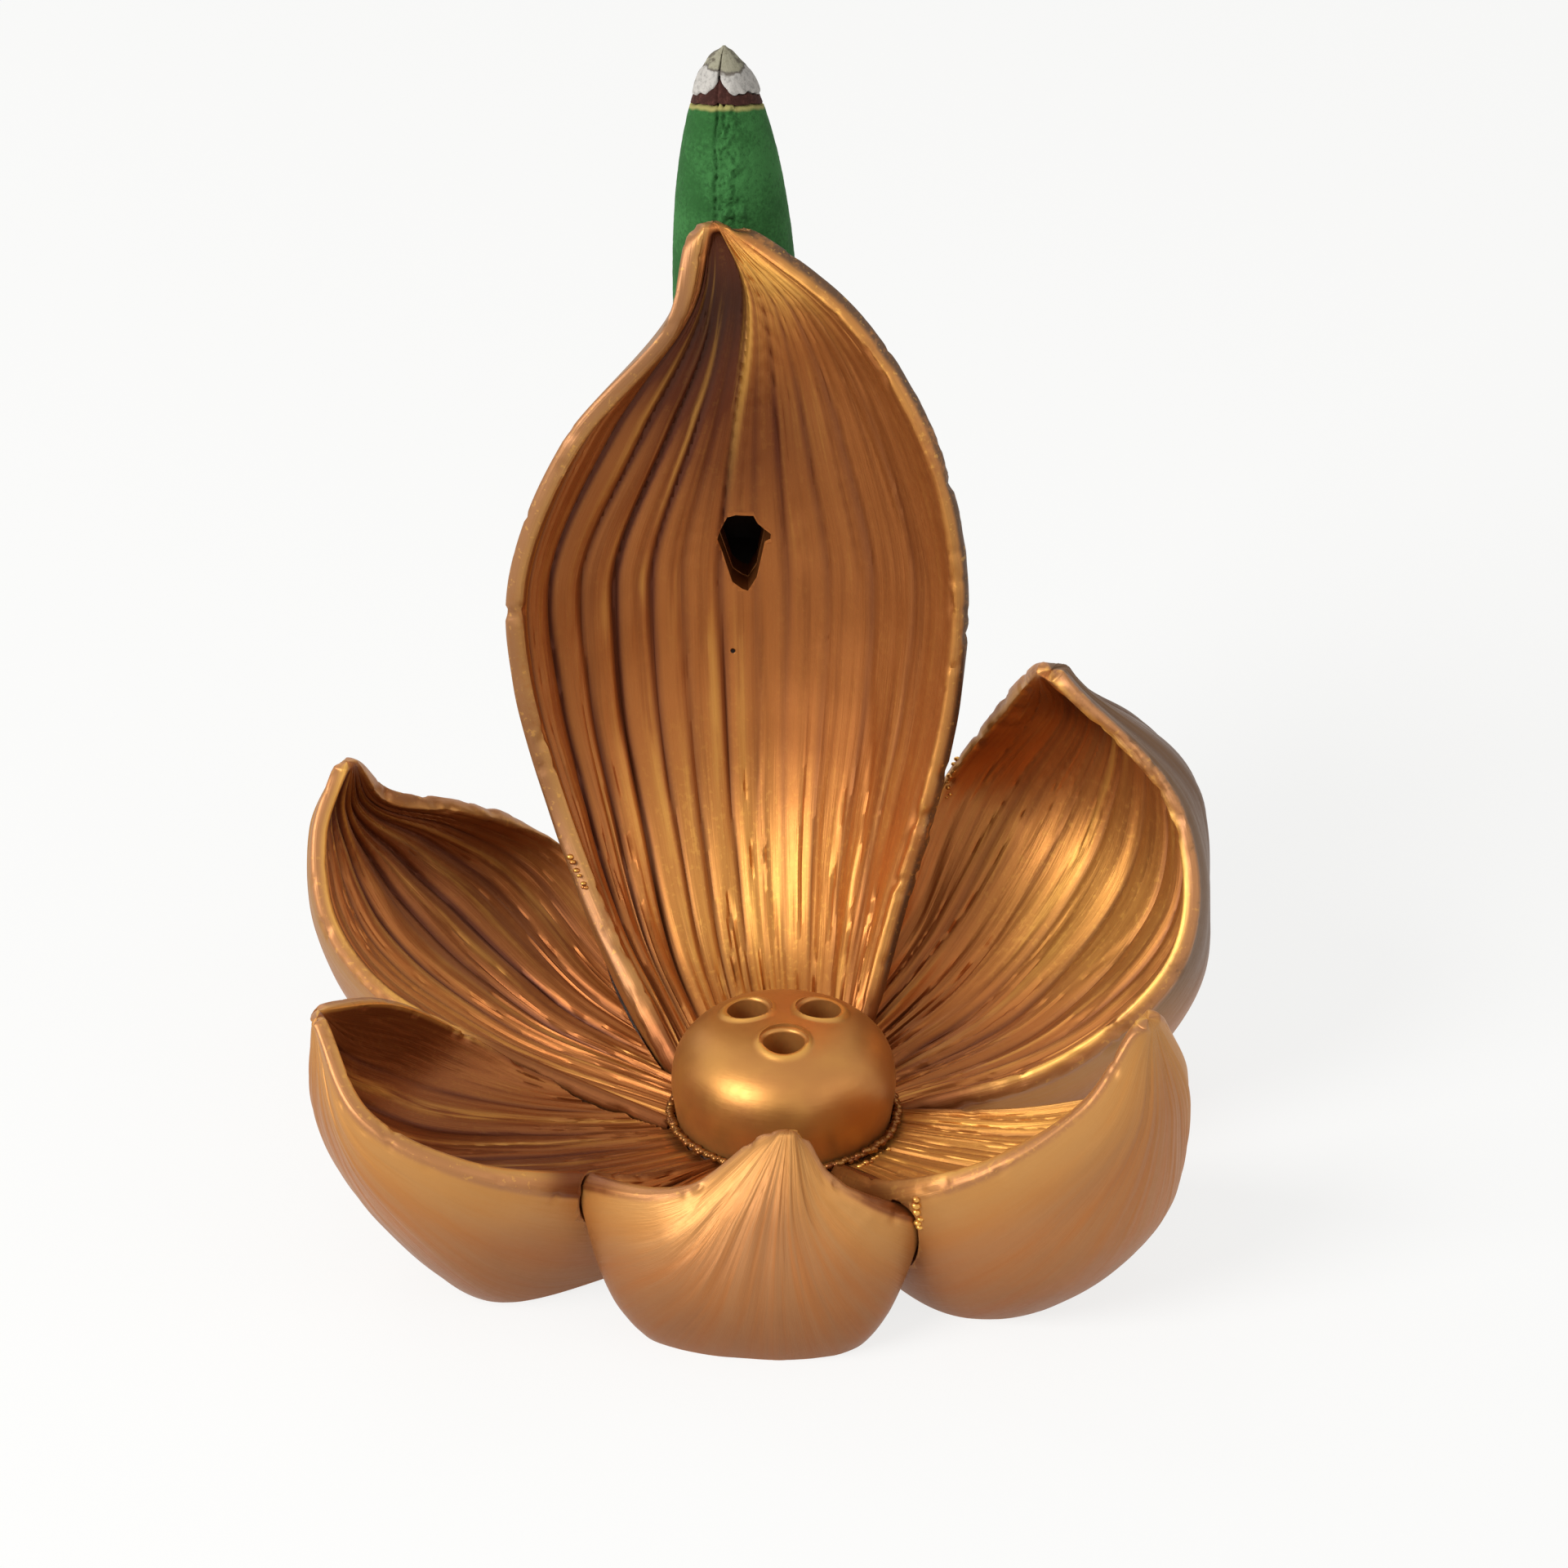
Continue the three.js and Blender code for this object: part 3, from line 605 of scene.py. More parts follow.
def turned(name, profile, steps=96, x=0.0, y=0.0):
    """A closed solid of revolution from a profile of (radius, height), up its outside."""
    profile = np.array(profile, float)
    on_axis = profile[:, 0] < 1e-9
    rings = profile[~on_axis]
    angle = np.linspace(0, 2 * math.pi, steps, endpoint=False)
    radii, heights = rings[:, :1], rings[:, 1:]
    points = np.stack([x + radii * np.cos(angle), y + radii * np.sin(angle),
                       heights + 0 * angle], -1).reshape(-1, 3)
    closed = not on_axis.any()
    faces = ring_faces(len(rings), steps, closed).tolist()
    if not closed:
        poles = [[x, y, profile[0, 1]], [x, y, profile[-1, 1]]]
        points = np.vstack([points, poles])
        faces += fan_faces(len(rings), steps)
    return new_piece(name, points, faces)


# Petals

def spline(points, t):
    """Centripetal Catmull-Rom curve through the points, at shares t of their count."""
    p = np.array(points, float)
    n = len(p)
    p = np.vstack([2 * p[0] - p[1], p, 2 * p[-1] - p[-2]])
    t = np.asarray(t, float) * (n - 1)
    i = np.minimum(t.astype(int), n - 2)
    w = (t - i)[..., None]
    a, b, c, d = p[i], p[i + 1], p[i + 2], p[i + 3]
    g0, g1, g2 = [np.sqrt(np.linalg.norm(y - x, axis=-1, keepdims=True))
                  for x, y in ((a, b), (b, c), (c, d))]
    t1 = ((b - a) / g0 - (c - a) / (g0 + g1) + (c - b) / g1) * g1
    t2 = ((c - b) / g1 - (d - b) / (g1 + g2) + (d - c) / g2) * g1
    return (b + t1 * w + (-3 * b + 3 * c - 2 * t1 - t2) * w ** 2
            + (2 * b - 2 * c + t1 + t2) * w ** 3)


class PetalShape:
    """A petal's faces in its own frame, in millimetres: x outwards, y to its left, z up."""

    def __init__(self, lines):
        self.lines = lines
        out, left, up = lines["tip"]
        root = HUB_RADIUS / MM - ROOT_TUCK
        seat = HUB_TOP / MM
        half = lines["width"] / 2
        self.middle = [[root, 0, seat], *self.upright(lines["middle"]), [out, 0, up]]
        self.back = [[root, 0, -ROOT_DEPTH], *self.upright([*lines["back"], lines["tip_back"]])]
        self.rims = {}
        for side, word in ((1, "left"), (-1, "right")):
            start = [root, side * half, seat + ROOT_LIFT]
            end = [out, left + side * TIP_WIDTH / 2, up]
            self.rims[side] = [start, *lines[word], end]

    @staticmethod
    def upright(points):
        return [[out, 0, up] for out, up in points]

    def inner(self, across, along):
        """Points of the inner face, for each along and each across."""
        middle = spline(self.middle, along)
        middle[:, 1] = self.lines["tip"][1] * along ** 2
        middle = middle[:, None]
        on_left = (across > 0)[None, :, None]
        rim = np.where(on_left, spline(self.rims[1], along)[:, None],
                       spline(self.rims[-1], along)[:, None])
        curl = np.radians(np.where(across > 0, *self.lines["curl"]))
        angle = curl * np.abs(across)
        sideways = np.sin(angle) / np.sin(curl)
        lifted = (1 - np.cos(angle)) / (1 - np.cos(curl))
        return middle + (rim - middle) * np.stack([lifted, sideways, lifted], -1)

    def normal(self, across, along):
        step = 0.004
        side = np.clip(across, step - 1, 1 - step)
        reach = np.clip(along, step, 1 - step)
        lengthwise = self.inner(side, reach + step) - self.inner(side, reach - step)
        crosswise = self.inner(side + step, reach) - self.inner(side - step, reach)
        normal = np.cross(lengthwise, crosswise)
        return normal / np.linalg.norm(normal, axis=-1, keepdims=True)

    def outer(self, across, along):
        """Points of the back: they close in to the rim's thickness, never under the wall."""
        fullness = (1 - np.abs(across) ** self.lines["belly"])[None, :, None]
        depth = (spline(self.back, along) - spline(self.middle, along))[:, None]
        outward = -self.normal(across, along)
        offset = depth * fullness + self.lines["rim"] * outward * (1 - fullness)
        thick = fullness * (1 - smoothstep(along, WALL_THINS_FROM, 1)[:, None, None])
        wall = RIM_WALL + (MIDDLE_WALL - RIM_WALL) * thick
        lack = wall - (offset * outward).sum(-1, keepdims=True)
        offset += outward * (lack + np.hypot(lack, WALL_EASE)) / 2
        return self.inner(across, along) + offset

    def fold_lines(self, across, along):
        """The line that each point lies on, after the swing and gather towards the tip."""
        near = smoothstep(along, GATHER_FROM, GATHER_TO)[:, None]
        line = np.linspace(-1, 1, 401)[None]
        slope = 1 / (1 + self.lines["gather"] * near)
        place = line * (slope + (1 - slope) * np.abs(line) ** GATHER_POWER)
        place = place + self.lines["swing"] * near * (1 - line ** 2)
        return np.array([np.interp(across, row, line[0]) for row in place])


def smoothstep(value, low, high):
    share = np.clip((np.asarray(value, float) - low) / (high - low), 0, 1)
    return share ** 2 * (3 - 2 * share)


def rim_arc(front, behind, beside):
    """Rounds a rim from its front points to its back ones. Beside lies just inland."""
    half = (behind - front) / 2
    centre = (front + behind) / 2
    outward = front - beside
    axis = half / np.linalg.norm(half, axis=-1, keepdims=True)
    outward -= axis * (outward * axis).sum(-1, keepdims=True)
    outward /= np.linalg.norm(outward, axis=-1, keepdims=True) + 1e-9
    angle = (np.arange(1, RIM_STEPS + 1) / (RIM_STEPS + 1) * math.pi)[None, :, None]
    reach = np.linalg.norm(half, axis=-1, keepdims=True) * RIM_BULGE
    return (centre[:, None] - half[:, None] * np.cos(angle)
            + (outward * reach)[:, None] * np.sin(angle))


def placed(points, bearing):
    """Turns points of a petal's own frame, in millimetres, to its bearing, in metres."""
    turn = math.radians(bearing)
    x, y, z = np.moveaxis(points * MM, -1, 0)
    return np.stack([x * math.cos(turn) - y * math.sin(turn),
                     x * math.sin(turn) + y * math.cos(turn), z], -1)


def free_rims(lines, along):
    """How free of its neighbours the left and the right rim stand, from 0 to 1, row by row."""
    across, rows = np.linspace(-1, 1, 41), np.linspace(0, 1, 61)
    trees = []
    for other in PETALS.values():
        if other is lines:
            continue
        shape = PetalShape(other)
        for face in (shape.inner, shape.outer):
            points = placed(face(across, rows), other["bearing"]).reshape(-1, 3)
            quads = [quad for quad in ring_faces(len(rows), len(across)).tolist()
                     if quad[1] % len(across)]
            trees.append(BVHTree.FromPolygons(points.tolist(), quads))
    free, reach = [], 10
    for side in (1.0, -1.0):
        rim = placed(PetalShape(lines).inner(np.array([side]), along)[:, 0], lines["bearing"])
        away = [min(tree.find_nearest(Vector(p))[3] for tree in trees) / MM for p in rim]
        away = np.pad(away, reach, "edge")
        away = np.convolve(away, np.ones(2 * reach + 1) / (2 * reach + 1), "valid")
        free.append(smoothstep(away, 2.5, 7.5))
    return free


def painted_shading_patches(across, along, patches):
    """Painted light (to 1) and painted shade (to -1) on the petal, from soft patches."""
    tone = np.zeros((len(along), len(across)))
    for middle, height, wide, long, strength in patches:
        away = ((across[None] - middle) / wide) ** 2 + ((along[:, None] - height) / long) ** 2
        tone += strength * np.exp(-away)
    return np.clip(tone, -1, 1)


def from_rims(face):
    """How far each point of a face lies from the nearer of its two rims."""
    return np.minimum(np.linalg.norm(face - face[:, :1], axis=-1),
                      np.linalg.norm(face - face[:, -1:], axis=-1))


def petal_mesh(name, lines, settings):
    """The smooth closed petal, with the attributes that its carving and paint follow."""
    shape = PetalShape(lines)
    across = np.linspace(RIM_FROM, -RIM_FROM, 2 * settings.columns + 1)
    along = np.linspace(0, 1, lines["rows"])
    inner, outer = shape.inner(across, along), shape.outer(across, along)

    # where a rim meets a neighbour, the inner face sinks towards it, as if run together
    left_free, right_free = [free[:, None] for free in free_rims(lines, along)]
    share = smoothstep(across, -0.5, 0.5)[None]
    free = left_free * share + right_free * (1 - share)
    sink = lines["melt"] * (1 - free) * (1 - smoothstep(from_rims(inner), 0, MELT_WIDTH))
    sink *= smoothstep(along, 0.06, 0.3)[:, None]
    inner = inner + (outer - inner) * sink[..., None]
    right = rim_arc(inner[:, -1], outer[:, -1], inner[:, -4])
    left = rim_arc(outer[:, 0], inner[:, 0], outer[:, 3])
    rings = np.concatenate([inner, right, outer[:, ::-1], left], 1)

    def around(front, on_right, back, on_left):
        rim = np.zeros((len(along), RIM_STEPS))
        return np.concatenate([front, rim + on_right, back[:, ::-1], rim + on_left], 1)

    inland = around(from_rims(inner), 0, from_rims(outer), 0)
    wall = np.linalg.norm(inner - outer, axis=-1)
    rise = np.arange(1, RIM_STEPS + 1) / (RIM_STEPS + 1)
    ones = np.ones(RIM_STEPS)
    sides = np.concatenate([across, -ones, across[::-1], ones])
    rag = np.zeros(inland.shape)
    for side, middle, length, height in lines["rags"]:
        rag += height * (sides * side > 0) * np.exp(-((along[:, None] - middle) / length) ** 2)
    values = {
        "line": shape.fold_lines(sides, along),
        "across": sides,
        "along": along[:, None],
        "behind": np.concatenate([0 * across, rise, 0 * across + 1, 1 - rise]),
        "inland": inland,
        "room": inland.max(1, keepdims=True),
        "thick": around(wall, lines["rim"], wall, lines["rim"]),
        "free": around(free, right_free, free, left_free),
        "rag": rag,
        # painted light and shade: the soft patches, the rims' painted shade or highlight and the
        # back's painted shade
        "tone": painted_shading_patches(sides, along, lines["painted_shading_patches"]),
        "edge": np.where(sides > 0, *lines["edges"]),
        "bark": lines["bark"],
        "soot": 0,
    }

    # the tip is rounded off by rings that close in on their centre
    last = rings[-1]
    centre = last.mean(0)
    ahead = centre - rings[-3].mean(0)
    ahead /= np.linalg.norm(ahead)
    angles = np.arange(1, TIP_RINGS + 1) / (TIP_RINGS + 0.5) * math.pi / 2
    dome = [centre + (last - centre) * math.cos(a) + ahead * TIP_HEIGHT * math.sin(a)
            for a in angles]
    rings = np.concatenate([rings, dome])
    spread = {label: np.broadcast_to(value, inland.shape) for label, value in values.items()}
    attributes = {label: np.concatenate([value, np.repeat(value[-1:], TIP_RINGS, 0)])
                  for label, value in spread.items()}

    rows, columns = rings.shape[:2]
    faces = ring_faces(rows, columns).tolist()
    faces += end_faces(0, columns, len(across))
    faces += [face[::-1] for face in end_faces(rows - 1, columns, len(across))]
    piece = new_piece(name, placed(rings, lines["bearing"]), faces)
    store_values(piece, attributes, rings.shape[:2])
    return piece


def end_faces(row, columns, inner_count):
    """Closes an end ring, front points to back points, with the rims' middles as corners."""
    first = row * columns
    across = 2 * inner_count + RIM_STEPS - 1
    reach = RIM_STEPS // 2 + 1
    faces = []
    for i in range(-reach, inner_count + reach - 1):
        corners = [i, across - i, across - i - 1, i + 1]
        faces.append(list(dict.fromkeys(first + c % columns for c in corners)))
    return faces


def fold_points(folds):
    """The section of a petal's folds as float curve points: sharp grooves, rounded crests.

    A shallow groove is an engraved line with flat ground beside it.
    """
    shoulder, flat = 0.022, "AUTO_CLAMPED"
    stops = [(-1, 0), *sorted(folds), (1, 0)]
    points = []
    for (line, depth), (after, next_depth) in zip(stops, stops[1:] + stops[-1:]):
        if 0 < depth <= ENGRAVED:
            points += [(line - shoulder, 1, flat), (line, 1 - depth, "VECTOR"),
                       (line + shoulder, 1, flat)]
        else:
            points.append((line, 1 - depth, "VECTOR" if depth else flat))
        if max(depth, next_depth) > ENGRAVED:
            points.append((crest(line, after), 1, flat))
    return [((line + 1) / 2, height, handle) for line, height, handle in points]


def crest(line, after):
    """The crest between two grooves. On the left half it stands close to the groove on its
    right, as where one fold lies over the next."""
    return line + (after - line) * (FOLD_CREST if line >= 0 and after > 0 else 0.5)


def peaks(marks):
    """Narrow peaks as float curve points, from marks of (line, height, half width)."""
    points = [(-1, 0)]
    for line, height, half in marks:
        points += [(line - half, 0), (line, height), (line + half, 0)]
    return [((line + 1) / 2, height, "VECTOR") for line, height in [*points, (1, 0)]]


def ridge_points(folds):
    """The crests of the folds."""
    stops = [(-1, 0), *sorted(folds), (1, 0)]
    return peaks([(crest(line, after), 1, (after - line) * 0.2)
                  for (line, depth), (after, next_depth) in zip(stops, stops[1:])
                  if max(depth, next_depth) > ENGRAVED])


def crease_points(folds):
    """The bottoms of the grooves, where the wash and the painted shade lie."""
    return peaks([(line, min(1, 0.35 + depth), 0.03) for line, depth in sorted(folds)])


def carving(name, lines):
    """The tree that carves a petal: folds and ribs inside, ribs on the back, a beaked tip.

    It moves points along their normals. The relief in millimetres is kept as "carve", and where
    the crests, the grooves and the tip's crease and hollow lie is kept for the paint: painted
    highlight on the crests and the crease, painted shade in the grooves and the hollow.
    """
    g = ShapeGraph(name + "_carving", ("Fold Depth", "Rib Depth", "Back Depth", "Wander", "Beak"),
                   ("Ribs", "Back Ribs", "Seed"))
    across, along, behind = g.attributes("across", "along", "behind")
    inland, room, thick, free = g.attributes("inland", "room", "thick", "free")
    front, seed = 1.0 - behind, g.inputs["Seed"]
    near_root = g.fall(along, 0.08, 0.45)

    # folds and ribs run along the petal's lines, straying a little
    stray = g.noise(g.vector(along * 2.6, across * 1.2, seed), 1.0, 1.0) - 0.5
    line = g.attribute("line") + stray * g.inputs["Wander"]
    section = {"Value": g.clamp(line * 0.5 + 0.5)}
    folds = g.add("ShaderNodeFloatCurve", {"points": fold_points(lines["folds"])}, section)
    strength = g.noise(g.vector(along * 3.0, line * 5.0, seed + 3.0), 1.0, 1.0)
    folds = (folds - 1.0) * g.blend(g.ramp(strength, 0.25, 0.6), 0.75, 1.15)
    folds = folds * g.fall(along, 0.93, 1.0) * (g.ramp(along, 0.0, 0.12) * 0.5 + 0.5)
    # the fold crests, kept for their painted highlight
    ridges = g.add("ShaderNodeFloatCurve", {"points": ridge_points(lines["folds"])}, section)
    ridges = ridges * g.ramp(strength, 0.3, 0.6) * front * g.fall(along, 0.85, 0.97)
    broad = g.noise(g.vector(line * 5.0, along * 1.4, seed + 5.0), 1.0, 1.0) - 0.5
    streaks = g.noise(g.vector(line * g.inputs["Ribs"], along * 2.2, seed + 7.0), 1.0, 2.0) - 0.5
    threads = g.noise(g.vector(line * g.inputs["Ribs"], along * 1.3, seed + 13.0), 1.0, 0.0)
    cuts = g.near(threads - 0.5, 0.035)
    ribs = broad * 1.3 + streaks * (near_root * 3.0 + 1.0) - cuts * (near_root * 0.8 + 0.3)

    creases = g.add("ShaderNodeFloatCurve", {"points": crease_points(lines["folds"])}, section)
    creases = creases * g.ramp(strength, 0.1, 0.55) * front * g.ramp(along, 0.0, 0.2)
    creases = creases * g.fall(along, 0.88, 0.98)

    # left of the crease the tip is hollowed, right of it the lip is raised
    crease = g.ramp(along, GATHER_FROM, GATHER_TO) * lines["swing"]
    hollow = g.ramp(across - crease, -0.01, 0.05) * g.fall(across - crease, 0.3, 0.75)
    hollow = hollow * g.ramp(along, 0.66, 0.88) * g.fall(along, 0.985, 1.0)
    # the line along the crease, kept for its painted highlight
    edge = g.near(across - crease + 0.01, 0.03)
    edge = edge * g.ramp(along, 0.6, 0.78) * g.fall(along, 0.96, 1.0) * front
    folds = folds * (1.0 - hollow * 0.85)
    lip = g.ramp(crease - across, -0.02, 0.12) * g.fall(crease - across, 0.35, 0.9)
    lip = lip * g.ramp(along, 0.76, 0.92)
    inner = folds * g.inputs["Fold Depth"] + ribs * g.inputs["Rib Depth"]
    inner = inner + (lip * 0.45 - hollow) * g.inputs["Beak"]

    back_line = g.attribute("line") * 0.5 + across * 0.5 + stray * g.inputs["Wander"]
    back_lines = g.vector(back_line * g.inputs["Back Ribs"], along * 1.6, seed + 19.0)
    back_streaks = g.noise(back_lines, 1.0, 1.2, 0.5) - 0.5
    back_cuts = g.near(back_streaks, 0.05)
    outer = (back_streaks * 1.7 - back_cuts * 0.12) * g.inputs["Back Depth"]
    outer = outer * (g.ramp(along, 0.3, 0.75) * 0.8 + 0.2)

    away = g.ramp(inland, 0.05, g.blend(free, 0.7, 2.2)) * g.clamp(room / 7.0)
    carve = g.blend(behind, inner, outer) * away
    carve = g.math("MAXIMUM", carve, thick * (-FOLD_LIMIT * MM))
    place = g.add("GeometryNodeInputPosition")
    lumps = (g.noise(place, 75.0, 1.0) - 0.5) * g.clamp(thick / 4.0)
    at_rim = g.fall(inland, 0.3, 1.2)
    nicks = g.ramp(g.noise(place, 420.0, 1.0), 0.58, 0.72) * at_rim
    rags = (g.noise(place, 260.0, 2.0) - 0.42) * g.attribute("rag")
    rags = rags * g.fall(inland, 1.0, 3.5)
    height = carve + (lumps * 0.5 - nicks * 0.3 + rags * 1.6) * MM
    moved = g.push(g.inputs["Geometry"], height)
    beak = g.inputs["Beak"] / MM
    kept = {"ridge": ridges, "groove": creases, "crease": edge * beak,
            "hollow": hollow * beak * front, "carve": carve * (1 / MM)}
    for label, value in kept.items():
        moved = g.store(moved, label, value)
    g.finish(moved, g.inputs["Material"])
    return g


def growth():
    """The tree that lets a solid stand out by a distance, to cut its room in another."""
    g = ShapeGraph("room", ("Gap",))
    g.finish(g.push(g.inputs["Geometry"], g.inputs["Gap"]), g.inputs["Material"])
    return g


def grown(piece, gap):
    """A copy of a solid that stands out from it by a gap."""
    copy = bpy.data.objects.new(piece.name + "_room", piece.data.copy())
    bpy.context.scene.collection.objects.link(copy)
    growth().apply_to(copy, {"Gap": gap})
    return copy


def box_solid(name, low, high):
    corners = [[x, y, z] for z in (low[2], high[2]) for x, y in
               ((low[0], low[1]), (high[0], low[1]), (high[0], high[1]), (low[0], high[1]))]
    faces = [[0, 3, 2, 1], [4, 5, 6, 7], [0, 1, 5, 4], [1, 2, 6, 5], [2, 3, 7, 6], [3, 0, 4, 7]]
    return new_piece(name, corners, faces)


def pod_outline(pod, spare=0.0, steps=40):
    """The pod's dome as (radius, height), grown by a spare distance."""
    widest = POD_FOOT + pod.widest
    radius, rise = POD_HIGH.x + spare, POD_TOP - widest + spare
    angles = np.linspace(0, math.pi / 2, steps)
    power = 2 / pod.squareness
    outline = [(radius * max(math.cos(a), 0) ** power, widest + rise * math.sin(a) ** power)
               for a in angles]
    outline[-1] = (0, widest + rise)
    return outline


def core_solid(pod, gap):
    """The room that the hub and the pod take in the petals."""
    profile = [(0, -MM), (HUB_RADIUS + gap, -MM), (HUB_RADIUS + gap, POD_FOOT)]
    return turned("core", profile + pod_outline(pod, gap), 128)


# The smoke outlet's ragged shield, seen from the front, as [right, up] of its middle
OUTLET = [[-1.9, 4.35], [-0.95, 4.7], [1.1, 4.55], [1.65, 3.5], [3.1, 2.3], [3.05, 1.75],
          [2.4, 1.4], [2.15, 0.2], [1.45, -3.1], [0.45, -4.75], [-0.2, -4.5], [-1.35, -3.6],
          [-2.2, -0.9], [-3.05, 1.75], [-2.7, 2.7]]
OUTLET_X = SEAT_X + 0.7 * MM
OUTLET_Z = 58.2 * MM


def outlet_solid():
    """The outlet's cutter, from in front of the tall petal to the stand's bore."""
    ring = np.array(OUTLET) * MM
    count = len(ring)
    points = [[OUTLET_X + x, y, OUTLET_Z + z] for y in (0.0, SEAT_Y) for x, z in ring]
    faces = ring_faces(2, count).tolist()
    faces += [list(range(count))[::-1], list(range(count, 2 * count))]
    piece = new_piece("outlet", points, faces)
    store_values(piece, {"soot": 1.0})
    return piece


class BURNER_OT_petals(bpy.types.Operator):
    """Carve the six petals and fit them to the pod and to each other"""

    bl_idname = "burner.petals"
    bl_label = "Petals"

    def execute(self, context):
        settings, pod = context.scene.burner_petals, context.scene.burner_pod
        resin = gilded_resin(context.scene.burner_paint)
        core = core_solid(pod, settings.gap)
        table = box_solid("table", (-0.2, -0.2, -0.1), (0.2, 0.2, 0))
        rooms = []
        for name, lines in PETALS.items():
            piece = petal_mesh(name + "_shell", lines, settings)
            carving(name, lines).apply_to(piece, {
                "Fold Depth": settings.fold_depth,
                "Rib Depth": settings.rib_depth * lines["ribs"],
                "Back Depth": settings.back_depth * lines["ribs"], "Ribs": settings.rib_count,
                "Back Ribs": settings.back_count, "Wander": settings.wander,
                "Beak": lines["beak"] * MM, "Seed": lines["seed"], "Material": resin,
            })
            room = grown(piece, settings.gap)
            combine(piece, "DIFFERENCE", table, core, *rooms)
            rooms.append(room)
            if name == "tall_rear_petal":
                outlet = outlet_solid()
                combine(piece, "DIFFERENCE", outlet)
                discard(outlet)
            keep_main_body(piece)
            smooth(piece)
            mount(piece, resin, "root", name)
        discard(core, table, *rooms)
        return {"FINISHED"}


def keep_main_body(piece):
    """Deletes the offcuts that a cut leaves beside the main body."""
    shape = bmesh.new()
    shape.from_mesh(piece.data)
    left = set(shape.verts)
    bodies = []
    while left:
        body, edge = set(), [left.pop()]
        while edge:
            vertex = edge.pop()
            body.add(vertex)
            for link in vertex.link_edges:
                other = link.other_vert(vertex)
                if other in left:
                    left.discard(other)
                    edge.append(other)
        bodies.append(body)
    main = max(bodies, key=len)
    bmesh.ops.delete(shape, geom=[v for body in bodies if body is not main for v in body])
    shape.to_mesh(piece.data)
    shape.free()


# Finishes

def gilded_resin(paint):
    """Metal paint on the petals: copper ground, gold crests that are rubbed wear and painted
    highlight, and a dark wash with painted shade in the grooves.
    """
    g = PaintGraph("gilded_resin", Specular_IOR_Level=0.5)
    line, along, behind, inland = g.attributes("line", "along", "behind", "inland")
    free, carve, soot, tone = g.attributes("free", "carve", "soot", "tone")
    blotch = g.noise(g.place, 70.0, 3.0, 0.6)
    speck = g.noise(g.place, 1300.0, 2.0, 0.6)
    streaks = g.noise(g.vector(line * 16.0, along * 2.4, behind * 9.0), 1.0, 3.0, 0.6)
    brushed = g.noise(g.vector(line * 55.0, along * 5.0, behind * 9.0), 1.0, 3.0, 0.6)
    fine = g.noise(g.vector(line * 150.0, along * 12.0, behind * 9.0), 1.0, 2.0)
    mottle = (blotch - 0.5) * 0.8
    at_rim = g.fall(inland, 0.05, 0.7)
    front = 1.0 - behind

    # painted light and painted shade from the soft patches, broken by random mottle
    painted_light = g.clamp(tone + mottle * 0.5)
    dark = g.clamp(-tone + mottle * 0.3)
    # gold on the crests, as rubbed wear and painted highlight
    crests = g.ramp(carve + (brushed - 0.5) * 0.8 + (streaks - 0.5) * 0.8 + mottle, 0.0, 0.7)
    # a red-brown wash with painted shade in the grooves and along their bottoms
    wash_and_shade = g.ramp(-carve + mottle * 0.3 + (fine - 0.5) * 0.2, 0.15, 1.1) * 0.6
    wash_and_shade = g.clamp(wash_and_shade + g.attribute("groove") * g.ramp(brushed, 0.2, 0.45))
    # the deepest grooves, where patina lies with painted shade
    deep = g.ramp(-carve + (fine - 0.5) * 0.2, 0.75, 1.5)
    # gold where the crests are rubbed and painted as highlight, and where painted light falls
    inner = g.tint(crests * 0.45 + painted_light * 0.45, paint.copper, paint.gold)
    inner = g.tint(g.ramp(streaks, 0.52, 0.3) * 0.35, inner, paint.wash_and_shade)
    hollow = g.attribute("hollow")
    # painted shade: the washed grooves, lighter where painted light falls, the dark patches and the
    # tip's hollow
    shaded = wash_and_shade * (0.85 - painted_light * 0.3) + dark * 0.7 + hollow
    inner = g.tint(g.clamp(shaded), inner, paint.wash_and_shade)
    # patina and painted shade in the deepest grooves, in the dark patches' grooves and in the tip's
    # hollow
    inner = g.tint(g.clamp(deep * 0.6 + dark * wash_and_shade * 0.3 + hollow * 0.25), inner, paint.patina_and_shade)
    # painted highlights along the fold crests and on the tip's crease
    painted_ridge_highlights = g.attribute("ridge") * g.ramp(streaks + (blotch - 0.5) * 0.6, 0.4, 0.6)
    inner = g.tint(g.clamp(painted_ridge_highlights * 0.55 + g.attribute("crease") * 0.5), inner, paint.gold)
    # gold flakes of worn gilding, shown more where painted light falls and less in the wash and
    # painted shade
    flakes = g.ramp(speck + (brushed - 0.5) * 0.5, 0.55, 0.7)
    inner = g.tint(flakes * (painted_light * 0.5 + 0.04) * (1.0 - wash_and_shade), inner, paint.gold)

    z = g.axis(g.place, 2)
    # the backs are darker towards the bottom, and the grooves of their ribs take the wash with
    # painted shade
    low = g.fall(z + (blotch - 0.5) * (8 * MM), 0.0, 16 * MM)
    lines = g.ramp(-carve + (brushed - 0.5) * 0.4, 0.0, 0.5)
    outer = g.tint(g.ramp(streaks + mottle * 0.4, 0.35, 0.7) * 0.7, paint.tan, paint.copper)
    outer = g.tint(g.fall(inland, 0.5, 9.0) * 0.3, outer, paint.gold)
    outer = g.tint(g.clamp(lines * 0.4 + low * 0.45), outer, paint.wash_and_shade)
    # painted shade over the upper back, as strong as the piece's back shade
    bark = g.attribute("bark") * g.ramp(z, 10 * MM, 26 * MM)
    outer = g.tint(bark * 0.9, outer, paint.bark)
    # where a rim meets its neighbour the inner face darkens with the wash and painted shade
    inner = g.tint(at_rim * (1.0 - free) * 0.6, inner, paint.wash_and_shade)
    colour = g.tint(behind * g.blend(at_rim, 1.0, free), inner, outer)

